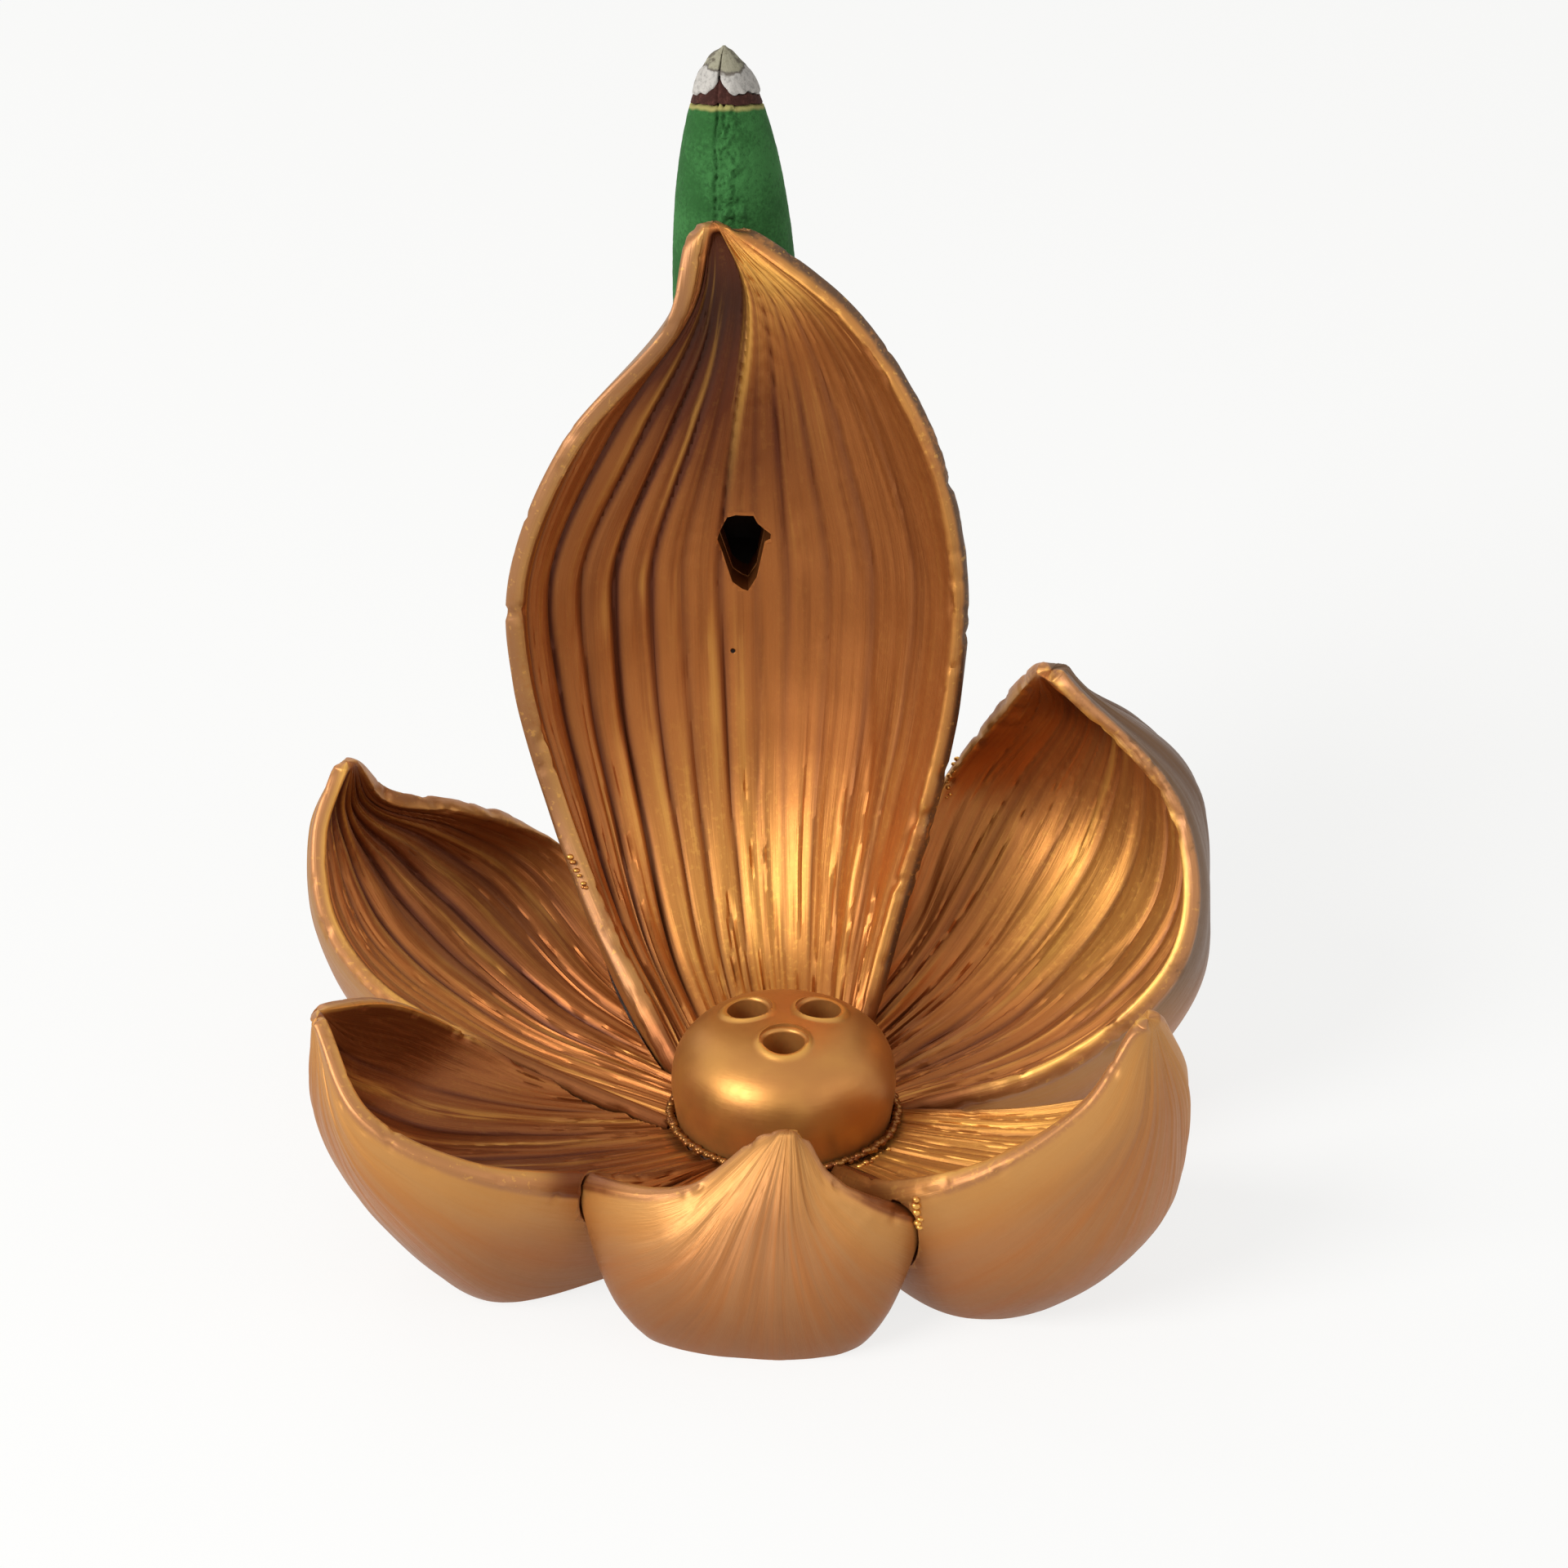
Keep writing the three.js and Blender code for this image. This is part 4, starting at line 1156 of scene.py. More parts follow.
    # a free rim is plain tan, gold or dark with painted shade, with a bright line where it meets the
    # inner face that is worn gilding with a painted highlight
    edge, rim = g.attribute("edge"), at_rim * free
    plain = g.tint(g.clamp(-edge) * 0.9, paint.tan, paint.bark)
    turned = 1.0 - g.ramp(edge, -0.6, -0.9) * g.fall(behind, 0.4, 0.6)
    colour = g.tint(rim * turned * g.ramp(blotch + speck, 0.6, 1.0), colour, plain)
    rim_wear_and_highlight = rim * g.fall(behind, 0.2, 0.6) * (g.clamp(edge) * 0.6 + 0.25)
    rim_wear_and_highlight = rim_wear_and_highlight * g.ramp(blotch + (speck - 0.5) * 0.3, 0.3, 0.5)
    colour = g.tint(rim_wear_and_highlight, colour, paint.gold)
    colour = g.tint(rim * g.ramp(speck, 0.6, 0.7) * 0.35, colour, paint.gold)
    # the pit's mouth is painted dark in the soot colour as painted shade; round the outlet the soot
    # is tar
    pit = pit_mark(g) * front
    colour = g.tint(g.clamp(pit + soot), colour, paint.soot)
    g.connect("Base Color", colour)

    metal = g.blend(behind, 0.75, 0.6) - wash_and_shade * 0.25 * front - bark * behind * 0.3
    g.connect("Metallic", g.clamp(metal * (1.0 - soot)))
    dull = g.blend(behind, 0.43, 0.45) + wash_and_shade * 0.12 * front + painted_light * 0.05
    g.connect("Roughness", g.clamp(dull + (speck - 0.5) * 0.15 + soot * 0.4))
    height = brushed * 0.5 + fine * 0.3 + speck * 0.15 - pit * 2.0
    g.relief(height, 0.13 * MM, 0.6)
    return g.material


# The small cast pit below the smoke outlet
PIT_X = OUTLET_X - 1.3 * MM
PIT_Z = OUTLET_Z - 12.2 * MM
PIT_RADIUS = 0.35 * MM


def pit_mark(g):
    """Where the pit's mouth lies on the tall petal."""
    x, z = g.axis(g.place, 0) - PIT_X, g.axis(g.place, 2) - PIT_Z
    return g.fall(g.math("SQRT", x * x + z * z), PIT_RADIUS * 0.6, PIT_RADIUS)


def painted(name, colour, dark, metallic, roughness):
    """A mottled coat of one colour that darkens in blotches, with a fine grain."""
    g = PaintGraph(name, Metallic=metallic)
    blotch = g.noise(g.place, 110.0, 3.0, 0.6)
    speck = g.noise(g.place, 900.0, 3.0, 0.6)
    g.connect("Base Color", g.tint(g.ramp(blotch + (speck - 0.5) * 0.4, 0.35, 0.75), colour, dark))
    g.connect("Roughness", g.clamp(roughness + (speck - 0.5) * 0.25))
    g.relief(speck, 0.05 * MM, 0.6)
    return g.material


# Seed pod

STICK_HOLES = 3
HOLE_TURN = -90


def pod_dome():
    """The tree that raises the lips round the stick holes and the brush marks above the foot."""
    g = ShapeGraph("pod_dome", ("Hole Radius", "Circle", "Lip", "Foot Height"), ("Seed",))
    place = g.add("GeometryNodeInputPosition")
    x, y, z = [g.axis(place, i) for i in range(3)]
    lips = None
    for i in range(STICK_HOLES):
        turn = math.radians(HOLE_TURN + i * 360 / STICK_HOLES)
        from_x = x - g.inputs["Circle"] * math.cos(turn)
        from_y = y - g.inputs["Circle"] * math.sin(turn)
        away = g.math("SQRT", from_x * from_x + from_y * from_y) - g.inputs["Hole Radius"]
        lip = g.near(away - 0.35 * MM, 0.75 * MM)
        lips = lip if lips is None else g.math("MAXIMUM", lips, lip)
    lips = lips * g.ramp(z, g.inputs["Foot Height"] + 8 * MM, g.inputs["Foot Height"] + 10 * MM)
    turn = g.math("ARCTAN2", y, x)
    rise = z - g.inputs["Foot Height"]
    marks = g.noise(g.vector(rise * 1500.0, turn * 1.1, g.inputs["Seed"]), 1.0, 2.0) - 0.5
    marks = marks * g.fall(rise, 2.5 * MM, 6.5 * MM) * g.ramp(rise, 0.5 * MM, 1.5 * MM)
    lumps = g.noise(place, 110.0, 1.0) - 0.5
    height = lips * g.inputs["Lip"] + marks * (0.3 * MM) + lumps * (0.35 * MM)
    moved = g.push(g.inputs["Geometry"], height)
    g.finish(g.store(moved, "lip", lips), g.inputs["Material"])
    return g


def stick_hole(pod, i):
    """The cutter of one stick hole, flared at its mouth so that the rim comes out rounded."""
    turn = math.radians(HOLE_TURN + i * 360 / STICK_HOLES)
    flare, steps = 0.45 * MM, 6
    floor, mouth, end = POD_TOP - pod.depth, POD_TOP - 0.6 * MM, POD_TOP + 2 * MM
    profile = [(0, floor), (pod.hole, floor)]
    for step in range(steps + 1):
        angle = step / steps * math.pi / 2
        profile.append((pod.hole + flare * (1 - math.cos(angle)), mouth + flare * math.sin(angle)))
    profile += [(pod.hole + flare * 1.5, end), (0, end)]
    return turned("stick_hole", profile, 64, pod.circle * math.cos(turn),
                  pod.circle * math.sin(turn))


class BURNER_OT_pod(bpy.types.Operator):
    """Turn the seed pod, raise its lips and drill its stick holes"""

    bl_idname = "burner.pod"
    bl_label = "Seed pod"

    def execute(self, context):
        pod, paint = context.scene.burner_pod, context.scene.burner_paint
        bevel = 0.4 * MM
        foot = [(0, POD_FOOT), (pod.foot / 2, POD_FOOT), (pod.foot - bevel, POD_FOOT),
                (pod.foot, POD_FOOT + bevel)]
        piece = turned("seed_pod_body", foot + pod_outline(pod, steps=70), 220)
        material = pod_paint(paint)
        pod_dome().apply_to(piece, {
            "Hole Radius": pod.hole, "Circle": pod.circle, "Lip": pod.lip,
            "Foot Height": POD_FOOT, "Seed": 5, "Material": material,
        })
        holes = [stick_hole(pod, i) for i in range(STICK_HOLES)]
        combine(piece, "DIFFERENCE", *holes)
        discard(*holes)
        smooth(piece, 35)
        mount(piece, material, "root", "seed_pod")
        return {"FINISHED"}


def pod_paint(paint):
    """Satin gold over the pod, browned near its foot and inside the stick holes by a wash with
    painted shade, with gilded lips round the holes that carry a painted highlight.
    """
    g = PaintGraph("gilded_pod")
    z = g.axis(g.place, 2)
    blotch = g.noise(g.place, 95.0, 3.0, 0.6)
    speck = g.noise(g.place, 1500.0, 2.0, 0.6)
    stretched = g.add("ShaderNodeMapping", None, {0: g.place, 3: (1.0, 1.0, 9.0)})
    brushed = g.noise(stretched, 160.0, 3.0, 0.6)
    # darker near the foot, where the petals meet it: wash and painted shade
    low = g.fall(z + (blotch - 0.5) * (4 * MM), POD_FOOT, POD_FOOT + 5 * MM)
    colour = g.tint(g.ramp(blotch, 0.35, 0.7) * 0.3, paint.pod, paint.gold)
    colour = g.tint(low * 0.5, colour, paint.wash_and_shade)
    # the lips round the holes: gilding with a painted highlight
    colour = g.tint(g.attribute("lip") * 0.8, colour, paint.gold)
    g.connect("Base Color", colour)
    g.connect("Roughness", g.clamp(0.42 + (speck - 0.5) * 0.15 + low * 0.1))
    g.connect("Metallic", 0.7 - low * 0.2)
    g.relief(brushed * 0.5 + speck * 0.2, 0.08 * MM, 0.6)
    return g.material


# Incense cone

# The ash is straighter sided than the powder under it, and its tip is yellowish above the cap
ASH_BLUNTNESS = 1.5
ASH_SHOULDER = 0.8
ASH_CAP = ASH_HIGH.z - 2.1 * MM
ZONE_CHAMFER = 0.3 * MM
ZONE_GAP = 0.08 * MM
FRONT_TURN = -0.25
BODY_OF_CONE = next(joint["child"] for joint in frame["joints"])


def cone_radii(cone, heights):
    share = np.clip(heights / (CONE_TOP - CONE_BASE), 0, 1)
    return cone.radius * (1 - share ** cone.bluntness) ** cone.shoulder


def cone_zone(name, cone, low, high, rows, bore=0, pointed=False):
    """A zone of the cone between two wavy heights over its base, one for each bearing."""
    steps = len(low)
    share = np.linspace(0, 1, rows)[:, None]
    heights = low + (high - low) * share
    radii = cone_radii(cone, heights)
    if pointed:
        radii = radii[0] * (1 - share ** ASH_BLUNTNESS) ** ASH_SHOULDER
    radii = np.maximum(radii, 0.3 * MM)
    radii[0] -= ZONE_CHAMFER
    radii[-1] = np.maximum(radii[-1] - ZONE_CHAMFER, 0.2 * MM)
    skin = np.ones(radii.shape)
    if bore:
        radii = np.vstack([np.full((2, steps), bore), radii])
        heights = np.vstack([np.full(steps, cone.bore_depth), 0 * low, heights])
        skin = np.vstack([np.zeros((2, steps)), skin])
    angle = np.linspace(0, 2 * math.pi, steps, endpoint=False)

    def leaning(radii, heights):
        lean = cone.lean * heights / (CONE_TOP - CONE_BASE)
        return np.stack([SEAT_X + radii * np.cos(angle) - lean, SEAT_Y + radii * np.sin(angle),
                         CONE_BASE + heights], -1)

    ends = heights[[0, -1]].mean(1)
    middles = np.broadcast_to(ends[:, None], (2, steps))
    poles = leaning(0 * middles, middles)[:, 0]
    faces = ring_faces(len(radii), steps).tolist() + fan_faces(len(radii), steps)
    piece = new_piece(name, np.vstack([leaning(radii, heights).reshape(-1, 3), poles]), faces)
    turn = np.broadcast_to(angle / (2 * math.pi), radii.shape)
    values = {"turn": (turn, [0, 0]), "rise": (heights / MM, ends / MM), "skin": (skin, [0, 0]),
              "below_top": ((high - heights) / MM, [9, 0])}
    store_values(piece, {label: np.concatenate([rings.ravel(), at_poles])
                         for label, (rings, at_poles) in values.items()})
    return piece


def crumbling():
    """The tree that crumbles the cone: powder grain, a cracked seam and crumbs beside it."""
    g = ShapeGraph("crumbling", ("Grain", "Seam Depth", "Crumbs", "Seam Bearing", "Plates"),
                   ("Seed",))
    turn, rise, skin = g.attributes("turn", "rise", "skin")
    place = g.add("GeometryNodeInputPosition")
    wave = g.noise(g.vector(rise * 0.35, g.inputs["Seed"], 0.0), 1.0, 2.0) - 0.5
    off = turn - g.inputs["Seam Bearing"] - wave * 0.03
    off = off - g.math("ROUND", off)
    crack = g.near(off, 0.012)
    beside = g.ramp(off, -0.02, 0.01) * g.fall(off, 0.05, 0.12)
    grain = g.noise(place, 1100.0, 2.0, 0.65) - 0.5
    crumbs = g.noise(place, 950.0, 3.0, 0.7) - 0.4
    plates = g.ramp(g.noise(place, 260.0, 2.0), 0.4, 0.6)
    height = (grain * g.inputs["Grain"] + crumbs * beside * g.inputs["Crumbs"]
              - crack * g.inputs["Seam Depth"] + plates * g.inputs["Plates"]) * skin
    moved = g.push(g.inputs["Geometry"], height)
    moved = g.store(moved, "crack", crack)
    g.finish(g.store(moved, "beside", beside), g.inputs["Material"])
    return g


class BURNER_OT_cone(bpy.types.Operator):
    """Press the incense cone with its burnt band and ash"""

    bl_idname = "burner.cone"
    bl_label = "Incense cone"

    def execute(self, context):
        cone, paint = context.scene.burner_cone, context.scene.burner_paint
        steps = 180
        turn = np.arange(steps) / steps
        away = np.abs(turn - cone.seam - np.round(turn - cone.seam))
        round_it = turn * 2 * math.pi
        ripple = 0.12 * MM * np.sin(round_it * 7) + 0.08 * MM * np.sin(round_it * 17 + 1)
        # the burn has climbed higher at the front, where the photograph shows it level
        climb = 1.1 * MM * np.cos((turn - FRONT_TURN) * 2 * math.pi)
        green_top = CHAR_LOW.z - CONE_BASE + ripple * 0.5 + climb
        peak = 1.7 * MM * np.clip(1 - away / 0.07, 0, 1)
        ash_low = ASH_LOW.z - CONE_BASE + ripple * 1.2 + peak + climb
        top = np.full(steps, CONE_TOP - CONE_BASE)

        # each zone's piece, its node, slot and paint, and how rough its grain is as a share,
        # with its crack, crumbs and plates in millimetres
        zones = [
            (cone_zone("cone_powder", cone, 0 * turn, green_top - ZONE_GAP, 150, bore=cone.bore),
             "incense_cone", "green_incense", powder_paint(paint), (1.3, 0.35, 2.2, 0.0)),
            (cone_zone("cone_char", cone, green_top, ash_low - ZONE_GAP, 20),
             "cone_char_band", "char", char_paint(paint), (1.2, 0.2, 0.2, 0.0)),
            (cone_zone("cone_ash", cone, ash_low, top, 40, pointed=True),
             "cone_ash_tip", "ash", ash_paint(paint), (0.6, 0.45, 0.1, 0.22)),
        ]
        tree = crumbling()
        for piece, node, slot, material, (grain, crack, crumbs, plates) in zones:
            tree.apply_to(piece, {
                "Grain": grain * cone.grain, "Seam Depth": crack * MM, "Crumbs": crumbs * MM,
                "Seam Bearing": cone.seam, "Plates": plates * MM, "Seed": 3, "Material": material,
            })
            smooth(piece, 60)
            mount(piece, material, BODY_OF_CONE, node)
        return {"FINISHED"}


def powder_paint(paint):
    """Pressed green powder, paler on its crumbs and yellowish just under the burnt band."""
    g = PaintGraph("incense_powder", Specular_IOR_Level=0.25)
    crack, beside = g.attributes("crack", "beside")
    blotch = g.noise(g.place, 160.0, 3.0, 0.6)
    speck = g.noise(g.place, 2200.0, 2.0, 0.7)
    pale = [min(1, c * 1.6 + 0.01) for c in paint.green]
    deep = [c * 0.45 for c in paint.green]
    colour = g.tint(g.ramp(blotch + (speck - 0.5) * 0.7, 0.35, 0.75), paint.green, pale)
    colour = g.tint(g.ramp(speck, 0.45, 0.3) * 0.25, colour, deep)
    colour = g.tint(beside * g.ramp(speck, 0.5, 0.65) * 0.5, colour, pale)
    colour = g.tint(crack * 0.4, colour, deep)
    scorched = g.ramp(g.attribute("below_top"), 0.7, 0.25)
    colour = g.tint(scorched * 0.7, colour, linear("#B8A867"))
    g.connect("Base Color", colour)
    g.connect("Roughness", g.clamp(0.85 + (speck - 0.5) * 0.2))
    g.relief(speck, 0.12 * MM, 0.8)
    return g.material


def char_paint(paint):
    g = PaintGraph("cone_char_crust", Specular_IOR_Level=0.3)
    speck = g.noise(g.place, 1600.0, 3.0, 0.7)
    ember = [min(1, c * 3 + 0.02) for c in paint.char]
    colour = g.tint(g.ramp(speck, 0.45, 0.75) * 0.6, paint.char, ember)
    g.connect("Base Color", colour)
    g.connect("Roughness", g.clamp(0.8 + speck * 0.2))
    g.relief(speck, 0.15 * MM, 0.9)
    return g.material


def ash_paint(paint):
    """Light grey ash, yellowish and broken towards the tip, with dark cracks."""
    g = PaintGraph("cone_ash_flakes", Specular_IOR_Level=0.25)
    z = g.axis(g.place, 2)
    blotch = g.noise(g.place, 380.0, 3.0, 0.6)
    speck = g.noise(g.place, 1800.0, 3.0, 0.7)
    above = z + (blotch - 0.5) * (2.2 * MM) - ASH_CAP
    cap = g.ramp(above, -0.2 * MM, 0.2 * MM)
    grey = [c * 0.6 for c in paint.ash]
    dark = linear("#4A4038")
    colour = g.tint(g.ramp(speck, 0.3, 0.55), grey, paint.ash)
    colour = g.tint(cap * 0.75, colour, linear("#8F8A6C"))
    broken = g.ramp(blotch + (speck - 0.5) * 0.5, 0.5, 0.35)
    colour = g.tint(cap * broken * 0.7, colour, dark)
    colour = g.tint(g.near(above, 0.25 * MM) * 0.8, colour, dark)
    colour = g.tint(g.attribute("crack") * 0.85, colour, linear("#43332B"))
    g.connect("Base Color", colour)
    g.connect("Roughness", g.clamp(0.85 + (speck - 0.5) * 0.2))
    g.relief(speck + blotch * 0.6, 0.15 * MM, 0.9)
    return g.material


# Hub, stand and seat disc

class BURNER_OT_hub(bpy.types.Operator):
    """Turn the receptacle hub under the pod"""

    bl_idname = "burner.hub"
    bl_label = "Receptacle hub"

    def execute(self, context):
        paint = context.scene.burner_paint
        bevel = 0.8 * MM
        edge = 0.3 * MM
        profile = [(0, 0), (HUB_RADIUS * 0.5, 0), (HUB_RADIUS - bevel, 0)]
        for step in range(1, 7):
            angle = step / 6 * math.pi / 2
            profile.append((HUB_RADIUS - bevel * (1 - math.sin(angle)),
                            bevel * (1 - math.cos(angle))))
        profile += [(HUB_RADIUS, HUB_TOP - edge), (HUB_RADIUS - edge, HUB_TOP), (0, HUB_TOP)]
        piece = turned("receptacle_disc", profile, 128)
        smooth(piece, 40)
        material = painted("bare_resin", paint.raw, paint.patina_and_shade, 0.0, 0.62)
        mount(piece, material, "root", "receptacle_hub")
        return {"FINISHED"}


# The stand's foot on the petal's back, its bore and walls, its flutes and the seat's edge
STAND_FOOT_HEIGHT = 36 * MM
STAND_FOOT_RADIUS = 2 * MM
STAND_FOOT_Y = 45.5 * MM
SMOKE_BORE_RADIUS = 3.7 * MM
STAND_WALL = 3.6 * MM
STAND_WAIST = 0.5 * MM
STAND_REACH = 1.4
SEAT_WALL = 1 * MM
SEAT_ROUND = 0.8 * MM
OUTLET_HEIGHT = 9.6 * MM


def fluting():
    """The tree that carves the bud's flutes, which fade out towards its ends."""
    g = ShapeGraph("fluting", ("Depth",), ("Flutes",))
    turn, fade = g.attributes("turn", "fade")
    wave = g.math("COSINE", turn * g.inputs["Flutes"] * (2 * math.pi))
    lumps = g.noise(g.add("GeometryNodeInputPosition"), 90.0, 1.0) - 0.5
    height = wave * g.inputs["Depth"] * fade + lumps * fade * (0.4 * MM)
    moved = g.push(g.inputs["Geometry"], height)
    g.finish(g.store(moved, "carve", wave * fade * 0.5), g.inputs["Material"])
    return g


def stand_mesh():
    """The bud from its foot on the petal's back to the seat, without flutes."""
    top = STAND_TOP
    seat_radius = DISC_RADIUS + FIT + SEAT_WALL
    belly_radius = SMOKE_BORE_RADIUS + STAND_WALL
    belly = OUTLET_Z - OUTLET_HEIGHT / 2
    waist = (belly + top) / 2
    knots = np.array([[STAND_FOOT_RADIUS, STAND_FOOT_HEIGHT], [belly_radius, belly],
                      [belly_radius - STAND_WAIST, waist], [seat_radius, top - SEAT_ROUND]])
    rows, steps = 70, 128
    share = np.linspace(0, 1, rows)
    outline = uniform_spline(knots, share)
    for angle in np.linspace(0, math.pi / 2, 7)[1:]:
        outline = np.vstack([outline, [seat_radius - SEAT_ROUND / 2 * (1 - math.cos(angle)),
                                       top - SEAT_ROUND + SEAT_ROUND * math.sin(angle)]])
    share = np.concatenate([share, np.ones(6)])
    radii, heights = outline[:, 0], outline[:, 1]
    rise = np.clip((heights - STAND_FOOT_HEIGHT) / (belly - STAND_FOOT_HEIGHT), 0, 1)
    y = STAND_FOOT_Y + (SEAT_Y - STAND_FOOT_Y) * np.sin(rise * math.pi / 2)
    angle = np.linspace(0, 2 * math.pi, steps, endpoint=False)
    stretch = np.where(angle > math.pi, STAND_REACH, 1)
    points = np.stack([SEAT_X + radii[:, None] * np.cos(angle),
                       y[:, None] + radii[:, None] * stretch * np.sin(angle),
                       heights[:, None] + 0 * angle], -1)
    faces = ring_faces(len(radii), steps).tolist()
    last = (len(radii) - 1) * steps
    faces += [list(range(steps))[::-1], list(range(last, last + steps))]
    piece = new_piece("cone_stand_bud", points, faces)
    # the bud's back takes painted shade like the rear petals' backs
    store_values(piece, {
        "turn": angle / (2 * math.pi), "fade": np.sin(share * math.pi)[:, None],
        "line": angle / math.pi, "along": share[:, None], "behind": 1, "inland": 9,
        "soot": 0, "tone": 0, "bark": 0.6,
    }, (len(radii), steps))
    return piece


def uniform_spline(knots, share):
    """Uniform Catmull-Rom curve through knots, whose ends count twice."""
    p = np.vstack([knots[0], knots, knots[-1]])
    t = share * (len(knots) - 1)
    i = np.minimum(t.astype(int), len(knots) - 2)
    w = (t - i)[:, None]
    a, b, c, d = p[i], p[i + 1], p[i + 2], p[i + 3]
    return 0.5 * (2 * b + (c - a) * w + (2 * a - 5 * b + 4 * c - d) * w ** 2
                  + (3 * b - a - 3 * c + d) * w ** 3)


class BURNER_OT_stand(bpy.types.Operator):
    """Carve the cone stand and turn its seat disc"""

    bl_idname = "burner.stand"
    bl_label = "Cone stand"

    def execute(self, context):
        scene = context.scene
        resin = bpy.data.materials["gilded_resin"]
        piece = stand_mesh()
        fluting().apply_to(piece, {"Flutes": 8, "Depth": 0.5 * MM, "Material": resin})
        petal = petal_mesh("petal_room", PETALS["tall_rear_petal"], scene.burner_petals)
        room = grown(petal, scene.burner_petals.gap)
        recess = seat_drill("recess", DISC_RADIUS + FIT, DISC_LOW.z - FIT, 96)
        bore = seat_drill("bore", SMOKE_BORE_RADIUS, OUTLET_Z - OUTLET_HEIGHT / 2, 64)
        store_values(bore, {"soot": 1.0})
        outlet = outlet_solid()
        combine(piece, "DIFFERENCE", room, recess, bore, outlet)
        discard(petal, room, recess, bore, outlet)
        keep_main_body(piece)
        smooth(piece, 35)
        mount(piece, resin, "root", "cone_stand")

        disc = seat_disc()
        smooth(disc, 30)
        steel = painted("seat_steel", scene.burner_paint.steel, linear("#6E6258"), 1.0, 0.35)
        mount(disc, steel, "root", "seat_disc")
        return {"FINISHED"}


def seat_drill(name, radius, floor, steps):
    """A round cutter on the seat's axis, from a floor up past the cone."""
    profile = [(0, floor), (radius, floor), (radius, CONE_TOP), (0, CONE_TOP)]
    return turned(name, profile, steps, SEAT_X, SEAT_Y)


def seat_disc():
    """The pressed disc: a flat ring with rounded edges round the smoke hole."""
    hole, edge = 3 * MM, 0.15 * MM
    low, high = DISC_LOW.z, DISC_HIGH.z
    profile = [(hole + edge, low), (DISC_RADIUS - edge, low), (DISC_RADIUS, low + edge),
               (DISC_RADIUS, high - edge), (DISC_RADIUS - edge, high), (hole + edge, high),
               (hole, high - edge), (hole, low + edge)]
    return turned("seat_disc_plate", profile, 96, SEAT_X, SEAT_Y)


# Glue

def beading():
    """The tree that lays glue beads of uneven size along a line."""
    g = ShapeGraph("beading", ("Least", "Most", "Spread"), ("Beads", "Seed"))
    line = g.add("GeometryNodeMeshToCurve", None, {0: g.inputs["Geometry"]})
    line = g.add("GeometryNodeResampleCurve", None, {"Curve": line, "Count": g.inputs["Beads"]})
    bead = g.add("GeometryNodeMeshIcoSphere", None, {"Radius": 1.0, "Subdivisions": 2})
    seed = g.inputs["Seed"]
    width = random_value(g, g.inputs["Least"], g.inputs["Most"], seed)
    flat = random_value(g, 0.55, 0.9, seed + 1.0)
    shift = [random_value(g, -1.0, 1.0, seed + float(i)) * g.inputs["Spread"] for i in (2, 3, 4)]
    moved = g.add("GeometryNodeSetPosition", None, {"Geometry": line, "Offset": g.vector(*shift)})
    scale = g.vector(width, width * 0.9, width * flat)
    beads = g.add("GeometryNodeInstanceOnPoints", None,
                  {"Points": moved, "Instance": bead, "Scale": scale})
    g.finish(g.add("GeometryNodeSetShadeSmooth", None, {0: beads}), g.inputs["Material"])
    return g


def random_value(g, low, high, seed):
    return g.add("FunctionNodeRandomValue", {"data_type": "FLOAT"}, {2: low, 3: high, 8: seed}, 1)


def glue_line(name, points, values, material):
    """Glue beads along a line of points, in metres."""
    piece = new_piece(name, points, [], [[i, i + 1] for i in range(len(points) - 1)])
    beading().apply_to(piece, {**values, "Material": material})
    smooth(piece, 80)
    mount(piece, material, "root", None)


# The point that the camera aims at, its sensor in millimetres and its square picture in pixels
AIM = Vector((0, 5 * MM, 48.5 * MM))
SENSOR = 36
PICTURE = 1920


def eye(stage):
    """The camera's place."""
    back = Vector((0, -math.cos(stage.elevation), math.sin(stage.elevation)))
    return AIM + back * stage.distance


def sighted(stage, spots, pieces):
    """Points of the pieces that lie behind these spots of the camera's square picture."""
    trees = [BVHTree.FromPolygons([v.co for v in piece.data.vertices],
                                  [p.vertices for p in piece.data.polygons]) for piece in pieces]
    start = eye(stage)
    ahead = (AIM - start).normalized()
    right = ahead.cross(Vector((0, 0, 1))).normalized()
    up = right.cross(ahead)
    points = []
    for x, y in spots:
        sideways = (x / PICTURE - 0.5) * SENSOR / stage.lens
        upwards = (0.5 - y / PICTURE) * SENSOR / stage.lens
        ray = (ahead + right * sideways + up * upwards).normalized()
        hits = [tree.ray_cast(start, ray) for tree in trees]
        hits = [(hit[3], hit[0]) for hit in hits if hit[0] is not None]
        if not hits:
            raise RuntimeError(f"no piece lies behind the spot {x}, {y}")
        points.append(min(hits, key=lambda hit: hit[0])[1])
    return points


# Glue that shows, as lines over the camera's picture with the number of beads, their least
# and greatest size and how far they stray, in millimetres
GLUE = {
    "glue_beads_pod": ([(1052, 1428), (1068, 1421), (1086, 1407)], 9, 0.2, 0.42, 0.12),
    "glue_drops_front": ([(1121, 1468), (1124, 1484), (1127, 1502)], 7, 0.3, 0.6, 0.2),
    "glue_seam_left": ([(700, 1050), (706, 1066), (716, 1090)], 8, 0.25, 0.55, 0.35),
    "glue_seam_right": ([(1172, 930), (1168, 944), (1163, 960), (1160, 978)], 9, 0.2, 0.5, 0.25),
}


# The beaded glue round the pod's foot
FOOT_GLUE_RADIUS = POD_HIGH.x + 0.1 * MM
FOOT_GLUE_RISE = 0.9 * MM
FOOT_GLUE_BEADS = 420


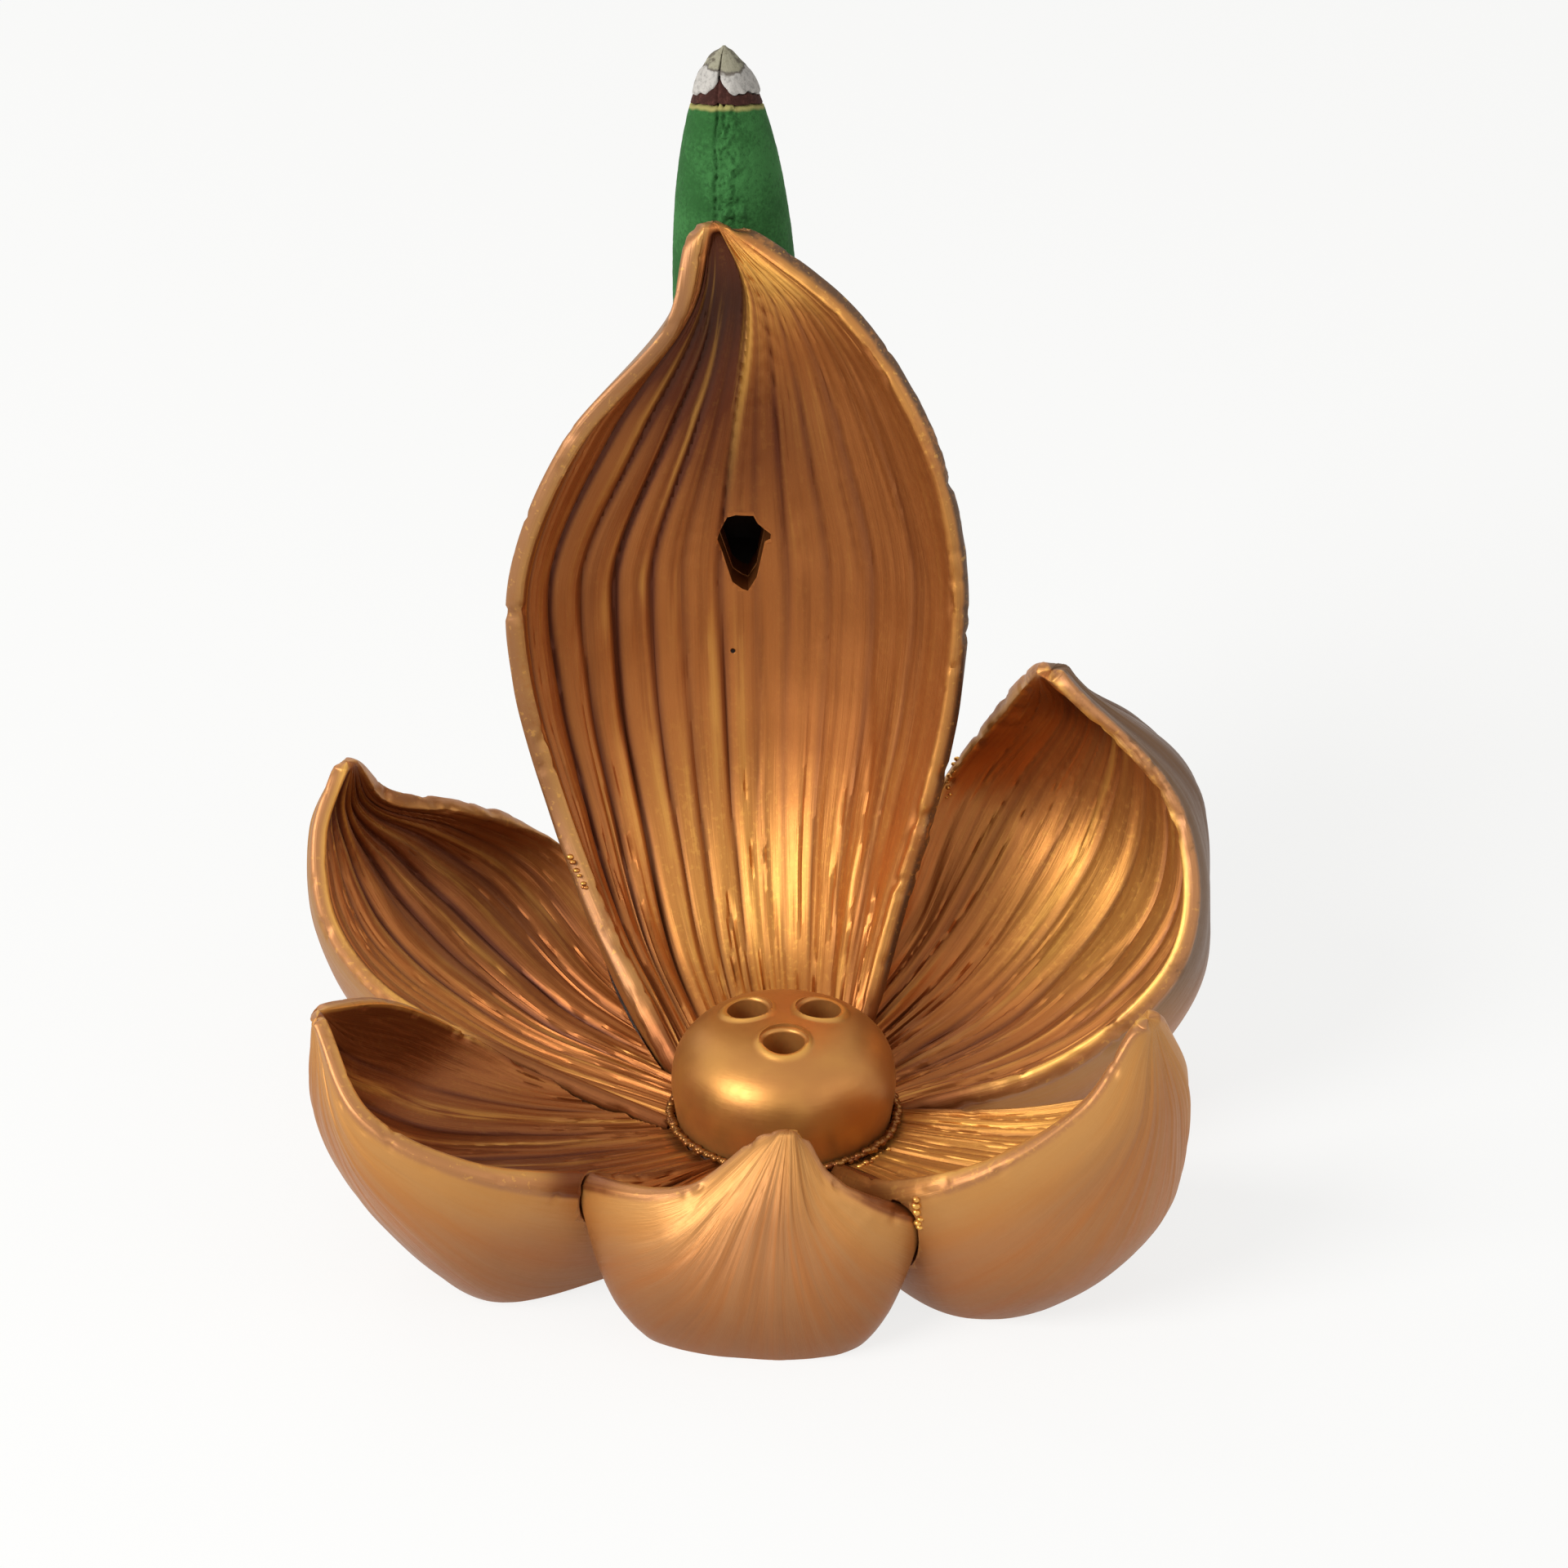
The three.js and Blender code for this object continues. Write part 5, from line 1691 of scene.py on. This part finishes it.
class BURNER_OT_glue(bpy.types.Operator):
    """Lay the glue that shows at the pod's foot and where the petals meet"""

    bl_idname = "burner.glue"
    bl_label = "Glue"

    def execute(self, context):
        material = glue_paint("gilded_glue", context.scene.burner_paint, 0.0)
        glue_paint("gilded_resin_glue", context.scene.burner_paint, 0.75)
        pieces = [bpy.data.objects[name + "_shell"] for name in PETALS]
        pieces += [bpy.data.objects[name] for name in ("seed_pod_body", "receptacle_disc")]
        for i, (name, (spots, beads, least, most, stray)) in enumerate(GLUE.items()):
            glue_line(name, sighted(context.scene.burner_stage, spots, pieces), {
                "Beads": beads, "Least": least * MM, "Most": most * MM, "Spread": stray * MM,
                "Seed": 4 + i,
            }, material)
        turns = np.linspace(0, 2 * math.pi, 181)
        ring = np.stack([FOOT_GLUE_RADIUS * np.cos(turns), FOOT_GLUE_RADIUS * np.sin(turns),
                         POD_FOOT + FOOT_GLUE_RISE + 0 * turns], -1)
        glue_line("glue_ring_pod", ring.tolist(), {
            "Beads": FOOT_GLUE_BEADS, "Least": 0.3 * MM, "Most": 0.55 * MM, "Spread": 0.15 * MM,
            "Seed": 12,
        }, bpy.data.materials["gilded_resin_glue"])
        return {"FINISHED"}


def glue_paint(name, paint, wash_and_shade):
    """Gold over the glue, dulled by a share of the wash and painted shade."""
    g = PaintGraph(name, Metallic=0.7)
    speck = g.noise(g.place, 1200.0, 2.0)
    gold = g.tint(g.ramp(speck, 0.4, 0.7), paint.gold, paint.copper)
    g.connect("Base Color", g.tint(wash_and_shade, gold, paint.wash_and_shade))
    g.connect("Roughness", g.clamp(0.2 + speck * 0.15))
    return g.material


# Stage

class BURNER_OT_stage(bpy.types.Operator):
    """Set the floor, the lamps, the surroundings and the camera"""

    bl_idname = "burner.stage"
    bl_label = "Stage"

    def execute(self, context):
        scene, stage = context.scene, context.scene.burner_stage
        start = eye(stage)
        camera = bpy.data.objects.new("camera", bpy.data.cameras.new("camera"))
        camera.data.lens = stage.lens
        camera.data.clip_start, camera.data.clip_end = 0.01, 50
        camera.location = start
        camera.rotation_euler = (AIM - start).to_track_quat("-Z", "Y").to_euler()
        scene.collection.objects.link(camera)
        scene.camera = camera

        add_lamp("key_lamp", (-0.68, -0.52, 0.62), 0.6, stage.key)
        add_lamp("fill_lamp", (0.8, -0.4, 0.5), 0.8, stage.fill)
        add_lamp("back_lamp", (-0.3, 0.8, 0.7), 0.6, stage.fill)

        corners = [[-FLOOR_REACH, -FLOOR_REACH], [FLOOR_REACH, -FLOOR_REACH],
                   [FLOOR_REACH, FLOOR_REACH], [-FLOOR_REACH, FLOOR_REACH]]
        floor = new_piece("floor", [[*corner, FLOOR_Z] for corner in corners], [[0, 1, 2, 3]])
        floor.data.materials.append(floor_paint())
        scene.world = surroundings(stage.ambient)
        scene.view_settings.view_transform = "Standard"
        return {"FINISHED"}


# The floor lies just under the burner's foot, and a share of it glows for the camera
FLOOR_Z = -0.05 * MM
FLOOR_REACH = 3.0
FLOOR_GLOW = 0.8


def add_lamp(name, place, width, power):
    """A round soft lamp that points at the camera's aim."""
    lamp = bpy.data.objects.new(name, bpy.data.lights.new(name, "AREA"))
    lamp.data.shape = "DISK"
    lamp.data.size = width
    lamp.data.energy = power
    lamp.location = place
    lamp.rotation_euler = (AIM - Vector(place)).to_track_quat("-Z", "Y").to_euler()
    bpy.context.scene.collection.objects.link(lamp)


def floor_paint():
    """Pale floor that shows white to the camera and keeps the shadow."""
    g = PaintGraph("pale_floor", Roughness=0.9, Specular_IOR_Level=0.1)
    blotch = g.noise(g.place, 3.0, 1.0)
    g.connect("Base Color", g.tint(blotch, (0.9, 0.9, 0.885), (0.93, 0.93, 0.92)))
    glow = g.add("ShaderNodeEmission", None, {"Color": (1, 1, 0.99, 1)})
    mix = g.add("ShaderNodeMixShader", None, {0: g.seen() * FLOOR_GLOW, 1: g.shader, 2: glow})
    g.tree.links.new(mix.socket, g.leave.inputs[0])
    return g.material


def surroundings(ambient):
    """Even surroundings that show as white behind the object and in its gloss."""
    world = bpy.data.worlds.new("surroundings")
    world.use_nodes = True
    g = Graph(world.node_tree)
    g.tree.nodes.clear()
    sockets = {"Color": (1, 1, 1, 1), "Strength": g.blend(g.seen(), ambient, 1.0)}
    g.add("ShaderNodeOutputWorld", None, {0: g.add("ShaderNodeBackground", None, sockets)})
    return world


# Panel and registration

OPERATORS = (BURNER_OT_petals, BURNER_OT_pod, BURNER_OT_hub, BURNER_OT_stand, BURNER_OT_cone,
             BURNER_OT_glue, BURNER_OT_stage)
SETTINGS = {
    "burner_petals": BurnerPetalSettings, "burner_paint": BurnerPaintSettings,
    "burner_pod": BurnerPodSettings, "burner_cone": BurnerConeSettings,
    "burner_stage": BurnerStageSettings,
}


class BURNER_PT_sidebar(bpy.types.Panel):
    """Lists the burner's settings and the steps that make it"""

    bl_idname = "BURNER_PT_sidebar"
    bl_label = "Lotus incense burner"
    bl_space_type = "VIEW_3D"
    bl_region_type = "UI"
    bl_category = "Burner"

    def draw(self, context):
        for operator in OPERATORS:
            self.layout.operator(operator.bl_idname)
        for name in SETTINGS:
            group = getattr(context.scene, name)
            box = self.layout.box()
            for label in group.__annotations__:
                box.prop(group, label)


def register():
    for name, group in SETTINGS.items():
        bpy.utils.register_class(group)
        setattr(bpy.types.Scene, name, bpy.props.PointerProperty(type=group))
    for operator in OPERATORS:
        bpy.utils.register_class(operator)
    bpy.utils.register_class(BURNER_PT_sidebar)


def unregister():
    bpy.utils.unregister_class(BURNER_PT_sidebar)
    for operator in reversed(OPERATORS):
        bpy.utils.unregister_class(operator)
    for name, group in reversed(SETTINGS.items()):
        delattr(bpy.types.Scene, name)
        bpy.utils.unregister_class(group)


def main():
    register()
    bpy.ops.burner.petals()
    bpy.ops.burner.pod()
    bpy.ops.burner.hub()
    bpy.ops.burner.stand()
    bpy.ops.burner.cone()
    bpy.ops.burner.glue()
    bpy.ops.burner.stage()
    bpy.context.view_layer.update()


if __name__ == "__main__":
    main()
